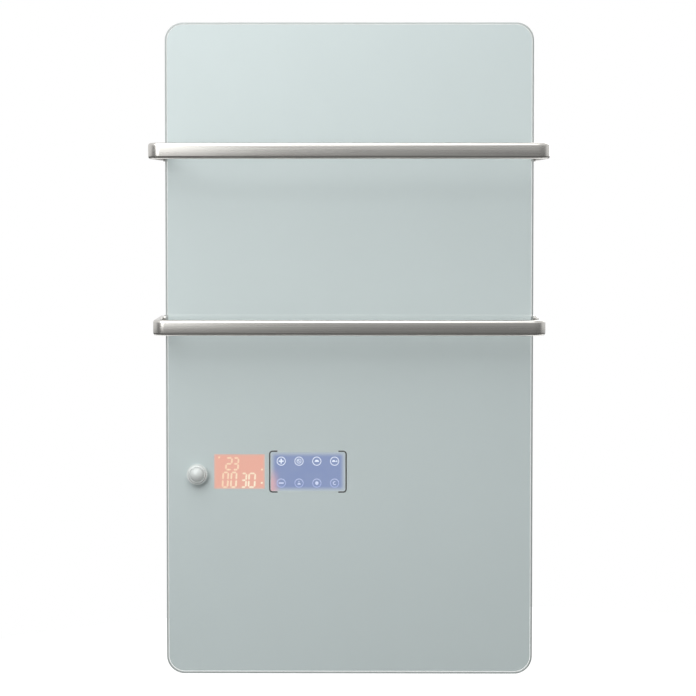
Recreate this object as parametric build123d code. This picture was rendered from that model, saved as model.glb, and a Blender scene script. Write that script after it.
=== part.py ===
from build123d import *
import os

os.makedirs("parts", exist_ok=True)

# Wall-hung radiant glass panel with two towel rails. Millimetres, +Z up, front towards -Y.
# The wall is the plane Y = 0 and the origin is the middle of the wall bracket's hole pattern.
# Depths are distances out from the wall, so a depth d lies at Y = -d.

# Front glass
GLASS_WIDTH = 450.0
GLASS_HEIGHT = 800.0
GLASS_THICKNESS = 6.0
GLASS_CORNER_RADIUS = 22.0
GLASS_EDGE_RADIUS = 2.0
ENAMEL_THICKNESS = 0.2
ENAMEL_EDGE_GAP = 0.5

# Rear casing, an open tray of sheet steel
WALL_GAP = 14.0
CASING_DEPTH = 32.0
CASING_INSET_SIDE = 13.0
CASING_INSET_END = 20.0
CASING_CORNER_RADIUS = 14.0
CASING_SHEET = 1.2
CASING_BEND_RADIUS = 2.0
RIM_GAP = 2.0
VENT_LENGTH = 14.0
VENT_WIDTH = 4.0
VENT_PITCH = 9.0
VENT_ROW_LENGTH = 300.0
VENT_EDGE_CLEARANCE = 4.0

# Bonded frame behind the glass
BOND_PAD_THICKNESS = 1.0
FRAME_SHEET = 1.5
FRAME_FLANGE_WIDTH = 10.0
FRAME_LEG_DEPTH = 14.0
SLIDE_FIT = 0.3

# Heating stack
FILM_THICKNESS = 0.5
SPREADER_THICKNESS = 1.5
INSULATION_THICKNESS = 14.0
FOIL_THICKNESS = 0.3
HEAT_EDGE_CLEARANCE = 10.0
HEAT_ABOVE_CONTROLS = 15.0
FILM_BORDER = 6.0
CLAMP_BAR_HEIGHT = 30.0
CLAMP_BAR_SHEET = 1.2
CLAMP_TAB_DEPTH = 13.0
CLAMP_BAR_END_OFFSET = 45.0
CUTOUT_RADIUS = 8.0
CUTOUT_HEIGHT = 8.0
CUTOUT_EAR_LENGTH = 26.0
CUTOUT_EAR_WIDTH = 8.0
CUTOUT_EAR_THICKNESS = 1.0
CUTOUT_CLEARANCE = 2.0
CUTOUT_OFFSET_X = 60.0
CUTOUT_BELOW_UPPER_BAR = 95.0
CUTOUT_ABOVE_LOWER_BAR = 95.0

# Towel rails, bent from flat-sided tube
RAIL_TUBE_HEIGHT = 19.0
RAIL_TUBE_THICKNESS = 8.0
RAIL_TUBE_CORNER = 3.5
RAIL_TUBE_WALL = 1.5
RAIL_LEAST_CORNER = 0.875
RAIL_BEND_OUTER_RADIUS = 15.0
RAIL_GLASS_CLEARANCE = 3.0
UPPER_RAIL_BELOW_TOP = 158.0
LOWER_RAIL_ABOVE_CONTROLS = 181.0
UPPER_RAIL_STANDOFF = 104.0
LOWER_RAIL_STANDOFF = 56.0
RAIL_FOOT_DEPTH = 26.0
RAIL_BLOCK_HEIGHT = 22.0
RAIL_BLOCK_LENGTH = 16.0
RAIL_BLOCK_CORNER = 3.0
RAIL_PLUG_LENGTH = 24.0
RAIL_PLUG_CAP = 1.5
PLUG_FIT = 0.15
RAIL_SCREW_SPACING = 10.0
RAIL_SCREW_RADIUS = 2.0
RAIL_SCREW_HEAD_RADIUS = 3.8
RAIL_SCREW_HEAD_HEIGHT = 2.4
RAIL_SCREW_GRIP = 3.5
SCREW_HOLE_CLEARANCE = 0.2
CUT_OVERRUN = 1.0
SIDE_SCREW_RADIUS = 2.0
SIDE_SCREW_HEAD_RADIUS = 3.8
SIDE_SCREW_HEAD_HEIGHT = 2.2
SIDE_SCREW_TAIL = 2.0

# Wall bracket and its hooks
BRACKET_SHEET = 2.0
WALL_HOLE_SPACING_X = 300.0
WALL_HOLE_SPACING_Z = 520.0
WALL_HOLE_RADIUS = 3.25
BRACKET_STRIP_WIDTH = 40.0
BRACKET_CORNER_RADIUS = 8.0
HOOK_SPACING_X = 300.0
HOOK_FROM_END = 180.0
HOOK_WIDTH = 24.0
HOOK_LIP_HEIGHT = 12.0
HOOK_SEAT_GAP = 0.2
HOOK_SIDE_CLEARANCE = 0.8
HOOK_LIP_CLEARANCE = 0.4
HOOK_OVERLIFT = 3.0
HOOK_PLATE_SHEET = 2.0
HOOK_PLATE_BORDER = 9.0
BUMPER_RADIUS = 9.0
BUMPER_NECK_RADIUS = 4.0
BUMPER_CORNER_OFFSET = 30.0
BUMPER_CORNER_OFFSET_Z = 40.0

# Motion sensor
SENSOR_FROM_LEFT = 38.0
CONTROLS_ABOVE_BOTTOM = 250.0
SENSOR_BELOW_CONTROLS = 3.0
SENSOR_HOLE_RADIUS = 10.0
SENSOR_HOLE_CLEARANCE = 0.3
SENSOR_COLLAR_RADIUS = 12.7
SENSOR_COLLAR_THICKNESS = 1.6
SENSOR_LENS_RADIUS = 11.4
SENSOR_LENS_HEIGHT = 7.5
SENSOR_LENS_WALL = 1.2
SENSOR_BARREL_WALL = 1.7
SENSOR_BARREL_LENGTH = 18.0
SENSOR_BOARD_SETBACK = 2.0
SENSOR_BOARD_THICKNESS = 1.6
SENSOR_SHOULDER = 1.0
SENSOR_NUT_THICKNESS = 4.0
SENSOR_NUT_WALL = 1.5
SENSOR_CAN_RADIUS = 4.6
SENSOR_CAN_HEIGHT = 4.5

# Display and touch keys
DISPLAY_FROM_LEFT = 58.5
DISPLAY_WIDTH = 62.5
DISPLAY_HEIGHT = 43.0
DISPLAY_BORDER = 2.5
DISPLAY_CELL_THICKNESS = 2.0
DISPLAY_LIGHT_THICKNESS = 2.5
DISPLAY_TO_KEYS_GAP = 7.5
KEY_FIELD_WIDTH = 91.0
KEY_FIELD_HEIGHT = 48.0
KEY_FIELD_BORDER = 1.5
KEY_PITCH_X = 21.9
KEY_PITCH_Z = 26.7
KEYS_PER_ROW = 4
KEY_ROWS = 2
KEY_PLUG_RADIUS = 4.5
KEY_PLUG_CLEARANCE = 0.3
BOARD_THICKNESS = 1.6
BOARD_MARGIN_Z = 11.0
BOARD_END_MARGIN = 0.5
BOARD_FIT = 0.5
BOARD_SCREW_RADIUS = 1.5
BOARD_SCREW_HEAD_RADIUS = 2.8
BOARD_SCREW_HEAD_HEIGHT = 1.8
BOARD_SCREW_INSET = 5.0
BOARD_SCREW_BITE = 6.0
BOSS_RADIUS = 3.5
CONTROL_HOUSING_WALL = 2.0
CONTROL_HOUSING_DEPTH = 19.0
CHIP_HEIGHT = 1.8
CHIP_SIDE = 14.0
CONNECTOR_HEIGHT = 6.0
CONNECTOR_LENGTH = 20.0
CONNECTOR_WIDTH = 6.0

# Power unit in the lower right corner of the casing
POWER_WIDTH = 160.0
POWER_HEIGHT = 125.0
POWER_DEPTH = 25.0
POWER_WALL = 2.0
POWER_LID_THICKNESS = 2.0
POWER_FROM_RIGHT = 45.0
POWER_ABOVE_BOTTOM = 35.0
POWER_BOARD_STANDOFF = 5.0
POWER_BOARD_FIT = 1.0
POWER_BOARD_SCREW_INSET = 6.0
RELAY_LENGTH = 29.0
RELAY_WIDTH = 13.0
RELAY_HEIGHT = 14.0
TRANSFORMER_LENGTH = 34.0
TRANSFORMER_WIDTH = 28.0
TRANSFORMER_HEIGHT = 15.0
TRANSFORMER_BOBBIN_LENGTH = 24.0
TRANSFORMER_BOBBIN_HEIGHT = 13.0
CAPACITOR_RADIUS = 5.0
CAPACITOR_HEIGHT = 13.0
FUSE_RADIUS = 2.6
FUSE_LENGTH = 20.0
FUSE_HOLDER_WIDTH = 8.0
FUSE_HOLDER_HEIGHT = 6.0
TERMINAL_POLES = 3
TERMINAL_PITCH = 8.0
TERMINAL_WIDTH = 10.0
TERMINAL_HEIGHT = 12.0
TERMINAL_SCREW_RADIUS = 2.2
PART_GAP = 6.0

# Cable gland in the bottom wall
GLAND_FROM_RIGHT = 75.0
GLAND_DEPTH = 30.0
GLAND_THREAD_RADIUS = 8.0
GLAND_HOLE_CLEARANCE = 0.2
GLAND_NOTCH_CLEARANCE = 3.0
GLAND_HEX_ACROSS_FLATS = 20.0
GLAND_FLANGE_HEIGHT = 4.0
GLAND_NUT_HEIGHT = 4.0
GLAND_THREAD_LENGTH = 8.0
GLAND_CAP_RADIUS = 9.0
GLAND_CAP_HEIGHT = 11.0
GLAND_BORE_RADIUS = 4.0

# Mains switch in the right wall
SWITCH_ABOVE_BOTTOM = 100.0
SWITCH_HEIGHT = 20.0
SWITCH_WIDTH = 12.0
SWITCH_BODY_DEPTH = 16.0
SWITCH_WALL = 1.4
SWITCH_BEZEL_OVERLAP = 1.0
SWITCH_BEZEL_THICKNESS = 1.5
SWITCH_CUTOUT_FIT = 0.2
SWITCH_SIDE_CLEARANCE = 1.6
ROCKER_FIT = 0.4
ROCKER_RISE = 2.6
ROCKER_THICKNESS = 3.0
ROCKER_TILT = 9.0
ROCKER_PIN_RADIUS = 1.0
ROCKER_PIN_FIT = 0.08
ROCKER_END_CLEARANCE = 1.1

# Room temperature probe by the bottom vents
PROBE_FROM_LEFT = 60.0
PROBE_RADIUS = 2.5
PROBE_LENGTH = 18.0
CLIP_WALL = 1.2
CLIP_LENGTH = 8.0
CLIP_STEM = 4.0
CLIP_FIT = 0.1

# Internal wires
WIRE_RADIUS = 1.2
WIRE_BEND_RADIUS = 6.0
WIRE_SPACING = 5.0
WIRE_RUN_DEPTH = 24.0
WIRE_KNEE_DROP = 18.0
RIBBON_WIDTH = 12.0
RIBBON_THICKNESS = 1.2
RIBBON_BEND_RADIUS = 14.0
EARTH_STUD_RADIUS = 2.5
EARTH_STUD_LENGTH = 8.0
EARTH_LUG_LENGTH = 14.0
EARTH_LUG_THICKNESS = 1.0
EARTH_OFFSET_X = 18.0

# Depths of the layers, out from the wall
casing_back = WALL_GAP
casing_floor = casing_back + CASING_SHEET
casing_front = casing_back + CASING_DEPTH
glass_back = casing_front + RIM_GAP
glass_face = glass_back + GLASS_THICKNESS
coat_back = glass_back - ENAMEL_THICKNESS
pad_back = coat_back - BOND_PAD_THICKNESS
flange_back = pad_back - FRAME_SHEET
leg_back = flange_back - FRAME_LEG_DEPTH
film_back = coat_back - FILM_THICKNESS
spreader_back = film_back - SPREADER_THICKNESS
insulation_back = spreader_back - INSULATION_THICKNESS
foil_back = insulation_back - FOIL_THICKNESS
clamp_back = foil_back - CLAMP_BAR_SHEET
side_screw_depth = (leg_back + flange_back) / 2
hook_inner = casing_floor + HOOK_PLATE_SHEET + HOOK_LIP_CLEARANCE
lift_travel = HOOK_LIP_HEIGHT + HOOK_OVERLIFT
slot_height = lift_travel + BRACKET_SHEET + 2 * HOOK_SEAT_GAP

# Outlines
half_glass_width = GLASS_WIDTH / 2
half_glass_height = GLASS_HEIGHT / 2
half_casing_width = half_glass_width - CASING_INSET_SIDE
half_casing_height = half_glass_height - CASING_INSET_END
half_frame_width = half_casing_width - CASING_SHEET - SLIDE_FIT
half_frame_height = half_casing_height - CASING_SHEET - SLIDE_FIT
hook_z = half_casing_height - HOOK_FROM_END
half_leg_inner = half_frame_width - FRAME_SHEET
half_leg_inner_height = half_frame_height - FRAME_SHEET
casing_bottom = -half_casing_height
casing_inside_bottom = casing_bottom + CASING_SHEET

# Controls
controls_z = -half_glass_height + CONTROLS_ABOVE_BOTTOM
sensor_x = -half_glass_width + SENSOR_FROM_LEFT
sensor_z = controls_z - SENSOR_BELOW_CONTROLS
display_x = -half_glass_width + DISPLAY_FROM_LEFT + DISPLAY_WIDTH / 2
keys_x = display_x + DISPLAY_WIDTH / 2 + DISPLAY_TO_KEYS_GAP + KEY_FIELD_WIDTH / 2
display_stack = DISPLAY_CELL_THICKNESS + DISPLAY_LIGHT_THICKNESS
board_front = coat_back - display_stack
board_back = board_front - BOARD_THICKNESS
board_left = display_x - DISPLAY_WIDTH / 2 - DISPLAY_BORDER - BOARD_END_MARGIN
board_right = keys_x + KEY_FIELD_WIDTH / 2 + KEY_FIELD_BORDER + BOARD_END_MARGIN
board_x = (board_left + board_right) / 2
board_width = board_right - board_left
display_outer_height = DISPLAY_HEIGHT + 2 * DISPLAY_BORDER
key_outer_height = KEY_FIELD_HEIGHT + 2 * KEY_FIELD_BORDER
board_height = max(display_outer_height, key_outer_height) + 2 * BOARD_MARGIN_Z
housing_width = board_width + 2 * BOARD_FIT + 2 * CONTROL_HOUSING_WALL
housing_height = board_height + 2 * BOARD_FIT + 2 * CONTROL_HOUSING_WALL
housing_back = pad_back - CONTROL_HOUSING_DEPTH
housing_left = board_x - housing_width / 2
housing_right = board_x + housing_width / 2

# Heated zone
heat_half_width = half_frame_width - FRAME_FLANGE_WIDTH - HEAT_EDGE_CLEARANCE
heat_top = half_frame_height - FRAME_FLANGE_WIDTH - HEAT_EDGE_CLEARANCE
heat_bottom = controls_z + housing_height / 2 + HEAT_ABOVE_CONTROLS
heat_height = heat_top - heat_bottom
heat_z = (heat_top + heat_bottom) / 2
clamp_top_z = heat_top - CLAMP_BAR_END_OFFSET
clamp_bottom_z = heat_bottom + CLAMP_BAR_END_OFFSET
clamp_middle_z = (clamp_top_z + clamp_bottom_z) / 2
cutout_places = (
    (CUTOUT_OFFSET_X, clamp_top_z - CUTOUT_BELOW_UPPER_BAR),
    (-CUTOUT_OFFSET_X, clamp_bottom_z + CUTOUT_ABOVE_LOWER_BAR),
)

# Towel rails
upper_rail_z = half_glass_height - UPPER_RAIL_BELOW_TOP
lower_rail_z = controls_z + LOWER_RAIL_ABOVE_CONTROLS
arm_inner = half_glass_width + RAIL_GLASS_CLEARANCE
arm_centre = arm_inner + RAIL_TUBE_THICKNESS / 2
rail_block_back = side_screw_depth - RAIL_BLOCK_LENGTH / 2

# Power unit
power_right = half_glass_width - POWER_FROM_RIGHT
power_x = power_right - POWER_WIDTH / 2
power_bottom = -half_glass_height + POWER_ABOVE_BOTTOM
power_z = power_bottom + POWER_HEIGHT / 2
power_top = power_bottom + POWER_HEIGHT
power_floor = casing_floor + POWER_WALL
power_board_back = power_floor + POWER_BOARD_STANDOFF
power_board_front = power_board_back + BOARD_THICKNESS
power_board_width = POWER_WIDTH - 2 * POWER_WALL - 2 * POWER_BOARD_FIT
power_board_height = POWER_HEIGHT - 2 * POWER_WALL - 2 * POWER_BOARD_FIT
power_front = casing_floor + POWER_DEPTH
gland_x = half_glass_width - GLAND_FROM_RIGHT
switch_z = -half_glass_height + SWITCH_ABOVE_BOTTOM
switch_depth = casing_floor + SWITCH_SIDE_CLEARANCE + SWITCH_WIDTH / 2 + SWITCH_BEZEL_OVERLAP
pivot_x = half_casing_width + SWITCH_BEZEL_THICKNESS - ROCKER_THICKNESS / 2
probe_x = -half_glass_width + PROBE_FROM_LEFT
probe_z = casing_inside_bottom + CLIP_STEM + CLIP_WALL + PROBE_RADIUS + CLIP_FIT
probe_depth = (casing_floor + leg_back) / 2


def slab(sketch, depth, thickness):
    """Extrudes a front-view sketch away from the wall, from a depth."""
    plane = Plane(origin=(0, -depth, 0), x_dir=(1, 0, 0), z_dir=(0, -1, 0))
    return extrude(plane * sketch, amount=thickness)


def rounded(width, height, radius, x=0.0, z=0.0):
    """A front-view rectangle with round corners, at a place."""
    return Pos(x, z) * RectangleRounded(width, height, radius)


def block(x, depth, z, width, thickness, height):
    """A plain box whose back face is at a depth, centred on x and z."""
    return slab(Pos(x, z) * Rectangle(width, height), depth, thickness)


def disc(x, z, radius, depth, thickness):
    """A round solid that points out from the wall."""
    return slab(Pos(x, z) * Circle(radius), depth, thickness)


def ring(x, z, outer, inner, depth, thickness):
    """A flat ring that points out from the wall."""
    return slab(Pos(x, z) * (Circle(outer) - Circle(inner)), depth, thickness)


def rod_x(x_from, x_to, depth, z, radius):
    """A round rod along X between two places."""
    centre = Pos((x_from + x_to) / 2, -depth, z)
    return centre * Rot(0, 90, 0) * Cylinder(radius, abs(x_to - x_from))


def rod_z(x, depth, z_from, z_to, radius):
    """A round rod along Z between two heights."""
    return Pos(x, -depth, (z_from + z_to) / 2) * Cylinder(radius, abs(z_to - z_from))


def wire(points, radius, bend):
    """A round wire through points, with an arc at each corner."""
    path = FilletPolyline(*points, radius=bend)
    return sweep(Plane(origin=path @ 0, z_dir=path % 0) * Circle(radius), path=path)


def hook_places():
    """The four hook places, left to right and bottom to top."""
    return [(sx * HOOK_SPACING_X / 2, sz * hook_z) for sx in (-1, 1) for sz in (-1, 1)]


def hook_slot(x, z, depth, thickness):
    """The slot that a hook passes through, in a sheet of the given depth and thickness."""
    width = HOOK_WIDTH + 2 * HOOK_SIDE_CLEARANCE
    top = z + HOOK_SEAT_GAP
    return block(x, depth, top - slot_height / 2, width, thickness, slot_height)


def wall_bracket():
    """A sheet frame with four wall holes and four upturned hooks."""
    outer_width = WALL_HOLE_SPACING_X + BRACKET_STRIP_WIDTH
    outer_height = WALL_HOLE_SPACING_Z + BRACKET_STRIP_WIDTH
    outline = rounded(outer_width, outer_height, BRACKET_CORNER_RADIUS)
    inner_width = outer_width - 2 * BRACKET_STRIP_WIDTH
    inner_height = outer_height - 2 * BRACKET_STRIP_WIDTH
    outline -= rounded(inner_width, inner_height, BRACKET_CORNER_RADIUS)
    for sx in (-1, 1):
        for sz in (-1, 1):
            place = Pos(sx * WALL_HOLE_SPACING_X / 2, sz * WALL_HOLE_SPACING_Z / 2)
            outline -= place * Circle(WALL_HOLE_RADIUS)
    body = slab(outline, 0, BRACKET_SHEET)
    reach = hook_inner + BRACKET_SHEET
    for x, z in hook_places():
        body += block(x, 0, z - BRACKET_SHEET / 2, HOOK_WIDTH, reach, BRACKET_SHEET)
        body += block(x, hook_inner, z + HOOK_LIP_HEIGHT / 2, HOOK_WIDTH, BRACKET_SHEET, HOOK_LIP_HEIGHT)
    return body


def hook_plates():
    """Four plates inside the casing that stiffen the slots."""
    width = HOOK_WIDTH + 2 * HOOK_SIDE_CLEARANCE + 2 * HOOK_PLATE_BORDER
    height = slot_height + 2 * HOOK_PLATE_BORDER
    plates = []
    for x, z in hook_places():
        middle = z + HOOK_SEAT_GAP + HOOK_PLATE_BORDER - height / 2
        plate = block(x, casing_floor, middle, width, HOOK_PLATE_SHEET, height)
        plates.append(plate - hook_slot(x, z, casing_floor, HOOK_PLATE_SHEET))
    return Compound(children=plates)


def wall_bumpers():
    """Four rubber bumpers between the casing and the wall."""
    x = half_casing_width - BUMPER_CORNER_OFFSET
    z = half_casing_height - BUMPER_CORNER_OFFSET_Z
    bumpers = []
    for sx in (-1, 1):
        for sz in (-1, 1):
            pad = disc(sx * x, sz * z, BUMPER_RADIUS, 0, casing_back)
            bumpers.append(pad + disc(sx * x, sz * z, BUMPER_NECK_RADIUS, casing_back, CASING_SHEET))
    return Compound(children=bumpers)


def vent_slots():
    """Rows of slots through the casing's top and bottom walls."""
    count = int(VENT_ROW_LENGTH / VENT_PITCH)
    middle = (casing_floor + leg_back) / 2
    length = min(VENT_LENGTH, leg_back - casing_floor - VENT_EDGE_CLEARANCE)
    cutter = SlotOverall(length, VENT_WIDTH, rotation=90)
    skip = GLAND_HEX_ACROSS_FLATS
    slots = []
    for index in range(count):
        x = (index - (count - 1) / 2) * VENT_PITCH
        for sz in (-1, 1):
            if sz < 0 and abs(x - gland_x) < skip:
                continue
            if sz < 0 and abs(x - probe_x) < CLIP_LENGTH:
                continue
            wall = sz * (half_casing_height - CASING_SHEET / 2)
            plane = Plane(origin=(x, -middle, wall), z_dir=(0, 0, 1))
            slots.append(extrude(plane * cutter, amount=CASING_SHEET, both=True))
    return slots


def screw_depth_holes(radius):
    """Holes along X for the rail screws and side screws through both side walls."""
    holes = []
    for sx in (-1, 1):
        outer = sx * (half_casing_width + CASING_SHEET)
        inner = sx * (half_leg_inner - 2 * CLAMP_BAR_SHEET)
        for z in rail_screw_heights() + side_screw_heights():
            holes.append(rod_x(inner, outer, side_screw_depth, z, radius + SCREW_HOLE_CLEARANCE))
    return holes


def rail_screw_heights():
    """Heights of the screws that hold the rails."""
    offsets = (-RAIL_SCREW_SPACING / 2, RAIL_SCREW_SPACING / 2)
    return [z + offset for z in (upper_rail_z, lower_rail_z) for offset in offsets]


def side_screw_heights():
    """Heights of the screws that hold the clamp bars, frame and casing together."""
    return [clamp_top_z, clamp_middle_z, clamp_bottom_z]


def rear_casing():
    """The folded steel tray that closes the back."""
    width = 2 * half_casing_width
    height = 2 * half_casing_height
    shell = slab(rounded(width, height, CASING_CORNER_RADIUS), casing_back, CASING_DEPTH)
    shell = fillet(shell.faces().sort_by(Axis.Y)[-1].edges(), CASING_BEND_RADIUS)
    inside = rounded(width - 2 * CASING_SHEET, height - 2 * CASING_SHEET, CASING_CORNER_RADIUS - CASING_SHEET)
    cavity = slab(inside, casing_floor, CASING_DEPTH)
    cavity = fillet(cavity.faces().sort_by(Axis.Y)[-1].edges(), CASING_BEND_RADIUS - CASING_SHEET)
    shell -= cavity
    shell -= vent_slots()
    for x, z in hook_places():
        shell -= hook_slot(x, z, casing_back, CASING_SHEET)
    shell -= screw_depth_holes(SIDE_SCREW_RADIUS)
    gland_hole = GLAND_THREAD_RADIUS + GLAND_HOLE_CLEARANCE
    hole_top = casing_inside_bottom + CASING_SHEET
    shell -= rod_z(gland_x, GLAND_DEPTH, casing_bottom - CASING_SHEET, hole_top, gland_hole)
    shell -= switch_cutout()
    for sx in (-1, 1):
        for sz in (-1, 1):
            x = sx * (half_casing_width - BUMPER_CORNER_OFFSET)
            z = sz * (half_casing_height - BUMPER_CORNER_OFFSET_Z)
            shell -= disc(x, z, BUMPER_NECK_RADIUS, casing_back, CASING_SHEET)
    return shell


def switch_cutout():
    """The rectangular hole for the mains switch in the right wall."""
    fit = SWITCH_CUTOUT_FIT
    width = SWITCH_WIDTH + 2 * fit
    height = SWITCH_HEIGHT + 2 * fit
    depth = switch_depth - width / 2
    return block(half_casing_width, depth, switch_z, 4 * CASING_SHEET, width, height)


def bond_frame():
    """A ring of angle section that is bonded to the glass and takes the casing."""
    radius = CASING_CORNER_RADIUS - CASING_SHEET - SLIDE_FIT
    width = 2 * half_frame_width
    height = 2 * half_frame_height
    body = slab(rounded(width, height, radius), leg_back, FRAME_LEG_DEPTH + FRAME_SHEET)
    leg = rounded(width - 2 * FRAME_SHEET, height - 2 * FRAME_SHEET, radius - FRAME_SHEET)
    body -= slab(leg, leg_back, FRAME_LEG_DEPTH)
    body -= slab(frame_window(), flange_back, FRAME_SHEET)
    notch = GLAND_HEX_ACROSS_FLATS + 2 * GLAND_NOTCH_CLEARANCE
    body -= block(gland_x, leg_back, -half_leg_inner_height, notch, FRAME_LEG_DEPTH, 4 * FRAME_SHEET)
    return body - screw_depth_holes(SIDE_SCREW_RADIUS)


def frame_window():
    """The opening inside the frame's flange."""
    radius = CASING_CORNER_RADIUS - CASING_SHEET - SLIDE_FIT
    width = 2 * (half_frame_width - FRAME_FLANGE_WIDTH)
    height = 2 * (half_frame_height - FRAME_FLANGE_WIDTH)
    return rounded(width, height, radius / 2)


def bond_pad():
    """The silicone strip between the frame's flange and the glass."""
    radius = CASING_CORNER_RADIUS - CASING_SHEET - SLIDE_FIT
    outline = rounded(2 * half_frame_width, 2 * half_frame_height, radius) - frame_window()
    return slab(outline, pad_back, BOND_PAD_THICKNESS)


def glass_front():
    """The toughened front glass with a polished round edge and the sensor's hole."""
    outline = rounded(GLASS_WIDTH, GLASS_HEIGHT, GLASS_CORNER_RADIUS)
    body = slab(outline, glass_back, GLASS_THICKNESS)
    faces = body.faces().sort_by(Axis.Y)
    body = fillet(faces[0].edges() + faces[-1].edges(), GLASS_EDGE_RADIUS)
    return body - disc(sensor_x, sensor_z, SENSOR_HOLE_RADIUS, glass_back, GLASS_THICKNESS)


def enamel_coat():
    """The pale enamel fired on the back of the glass, open at the display and keys."""
    inset = GLASS_EDGE_RADIUS + ENAMEL_EDGE_GAP
    width = GLASS_WIDTH - 2 * inset
    height = GLASS_HEIGHT - 2 * inset
    outline = rounded(width, height, GLASS_CORNER_RADIUS - inset)
    outline -= Pos(sensor_x, sensor_z) * Circle(SENSOR_HOLE_RADIUS)
    outline -= Pos(display_x, controls_z) * Rectangle(DISPLAY_WIDTH, DISPLAY_HEIGHT)
    outline -= Pos(keys_x, controls_z) * Rectangle(KEY_FIELD_WIDTH, KEY_FIELD_HEIGHT)
    return slab(outline, coat_back, ENAMEL_THICKNESS)


def heating_film():
    """The printed heating film behind the enamel."""
    width = 2 * (heat_half_width - FILM_BORDER)
    height = heat_height - 2 * FILM_BORDER
    return block(0, film_back, heat_z, width, FILM_THICKNESS, height)


def heat_spreader():
    """The aluminium plate that spreads the film's heat."""
    return block(0, spreader_back, heat_z, 2 * heat_half_width, SPREADER_THICKNESS, heat_height)


def insulation_board():
    """The mineral board behind the heated zone, open at the cut-outs."""
    body = block(0, insulation_back, heat_z, 2 * heat_half_width, INSULATION_THICKNESS, heat_height)
    for x, z in cutout_places:
        radius = CUTOUT_EAR_LENGTH / 2 + CUTOUT_CLEARANCE
        body -= disc(x, z, radius, insulation_back, INSULATION_THICKNESS)
    return body


def reflector_foil():
    """The foil on the back of the insulation."""
    body = block(0, foil_back, heat_z, 2 * heat_half_width, FOIL_THICKNESS, heat_height)
    for x, z in cutout_places:
        radius = CUTOUT_EAR_LENGTH / 2 + CUTOUT_CLEARANCE
        body -= disc(x, z, radius, foil_back, FOIL_THICKNESS)
    return body


def thermal_cutouts():
    """Two disc cut-outs, each on an eared base on the aluminium plate."""
    solids = []
    for x, z in cutout_places:
        ear_depth = spreader_back - CUTOUT_EAR_THICKNESS
        ear = slab(Pos(x, z) * SlotOverall(CUTOUT_EAR_LENGTH, CUTOUT_EAR_WIDTH), ear_depth, CUTOUT_EAR_THICKNESS)
        can = disc(x, z, CUTOUT_RADIUS, spreader_back - CUTOUT_HEIGHT, CUTOUT_HEIGHT)
        solids.append(ear + can)
    return Compound(children=solids)


def clamp_bar(z):
    """A sheet strip with end tabs that holds the insulation against the plate."""
    outer = half_leg_inner - SLIDE_FIT / 2
    body = block(0, clamp_back, z, 2 * outer, CLAMP_BAR_SHEET, CLAMP_BAR_HEIGHT)
    for sx in (-1, 1):
        x = sx * (outer - CLAMP_BAR_SHEET / 2)
        body += block(x, clamp_back, z, CLAMP_BAR_SHEET, CLAMP_TAB_DEPTH, CLAMP_BAR_HEIGHT)
    return body - screw_depth_holes(SIDE_SCREW_RADIUS)


def clamp_bar_upper():
    """The top clamp bar."""
    return clamp_bar(clamp_top_z)


def clamp_bar_middle():
    """The middle clamp bar."""
    return clamp_bar(clamp_middle_z)


def clamp_bar_lower():
    """The bottom clamp bar."""
    return clamp_bar(clamp_bottom_z)


def side_screws():
    """Pan head screws from outside through casing, frame and clamp bar tabs."""
    screws = []
    for sx in (-1, 1):
        wall = sx * half_casing_width
        head = sx * (half_casing_width + SIDE_SCREW_HEAD_HEIGHT)
        tip = sx * (half_leg_inner - CLAMP_BAR_SHEET - SIDE_SCREW_TAIL)
        for z in side_screw_heights():
            shank = rod_x(tip, wall, side_screw_depth, z, SIDE_SCREW_RADIUS)
            screws.append(shank + rod_x(wall, head, side_screw_depth, z, SIDE_SCREW_HEAD_RADIUS))
    return Compound(children=screws)


def tube_section(inset):
    """The rail's section, or its bore when inset by the wall."""
    width = RAIL_TUBE_THICKNESS - 2 * inset
    height = RAIL_TUBE_HEIGHT - 2 * inset
    return RectangleRounded(width, height, max(RAIL_TUBE_CORNER - inset, RAIL_LEAST_CORNER))


def towel_rail(z, standoff):
    """A rail bent back at both ends to pass outside the glass edges."""
    front = glass_face + standoff - RAIL_TUBE_THICKNESS / 2
    points = (
        (-arm_centre, -RAIL_FOOT_DEPTH, z),
        (-arm_centre, -front, z),
        (arm_centre, -front, z),
        (arm_centre, -RAIL_FOOT_DEPTH, z),
    )
    path = FilletPolyline(*points, radius=RAIL_BEND_OUTER_RADIUS - RAIL_TUBE_THICKNESS / 2)
    plane = Plane(origin=path @ 0, x_dir=(1, 0, 0), z_dir=path % 0)
    body = sweep(plane * tube_section(0), path=path)
    body -= sweep(plane * tube_section(RAIL_TUBE_WALL), path=path)
    for sx in (-1, 1):
        for offset in (-RAIL_SCREW_SPACING / 2, RAIL_SCREW_SPACING / 2):
            radius = RAIL_SCREW_RADIUS + SCREW_HOLE_CLEARANCE
            body -= rod_x(sx * (arm_inner - CUT_OVERRUN), sx * arm_centre, side_screw_depth, z + offset, radius)
    return body


def upper_rail():
    """The upper towel rail, which stands further out."""
    return towel_rail(upper_rail_z, UPPER_RAIL_STANDOFF)


def lower_rail():
    """The lower towel rail."""
    return towel_rail(lower_rail_z, LOWER_RAIL_STANDOFF)


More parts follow.
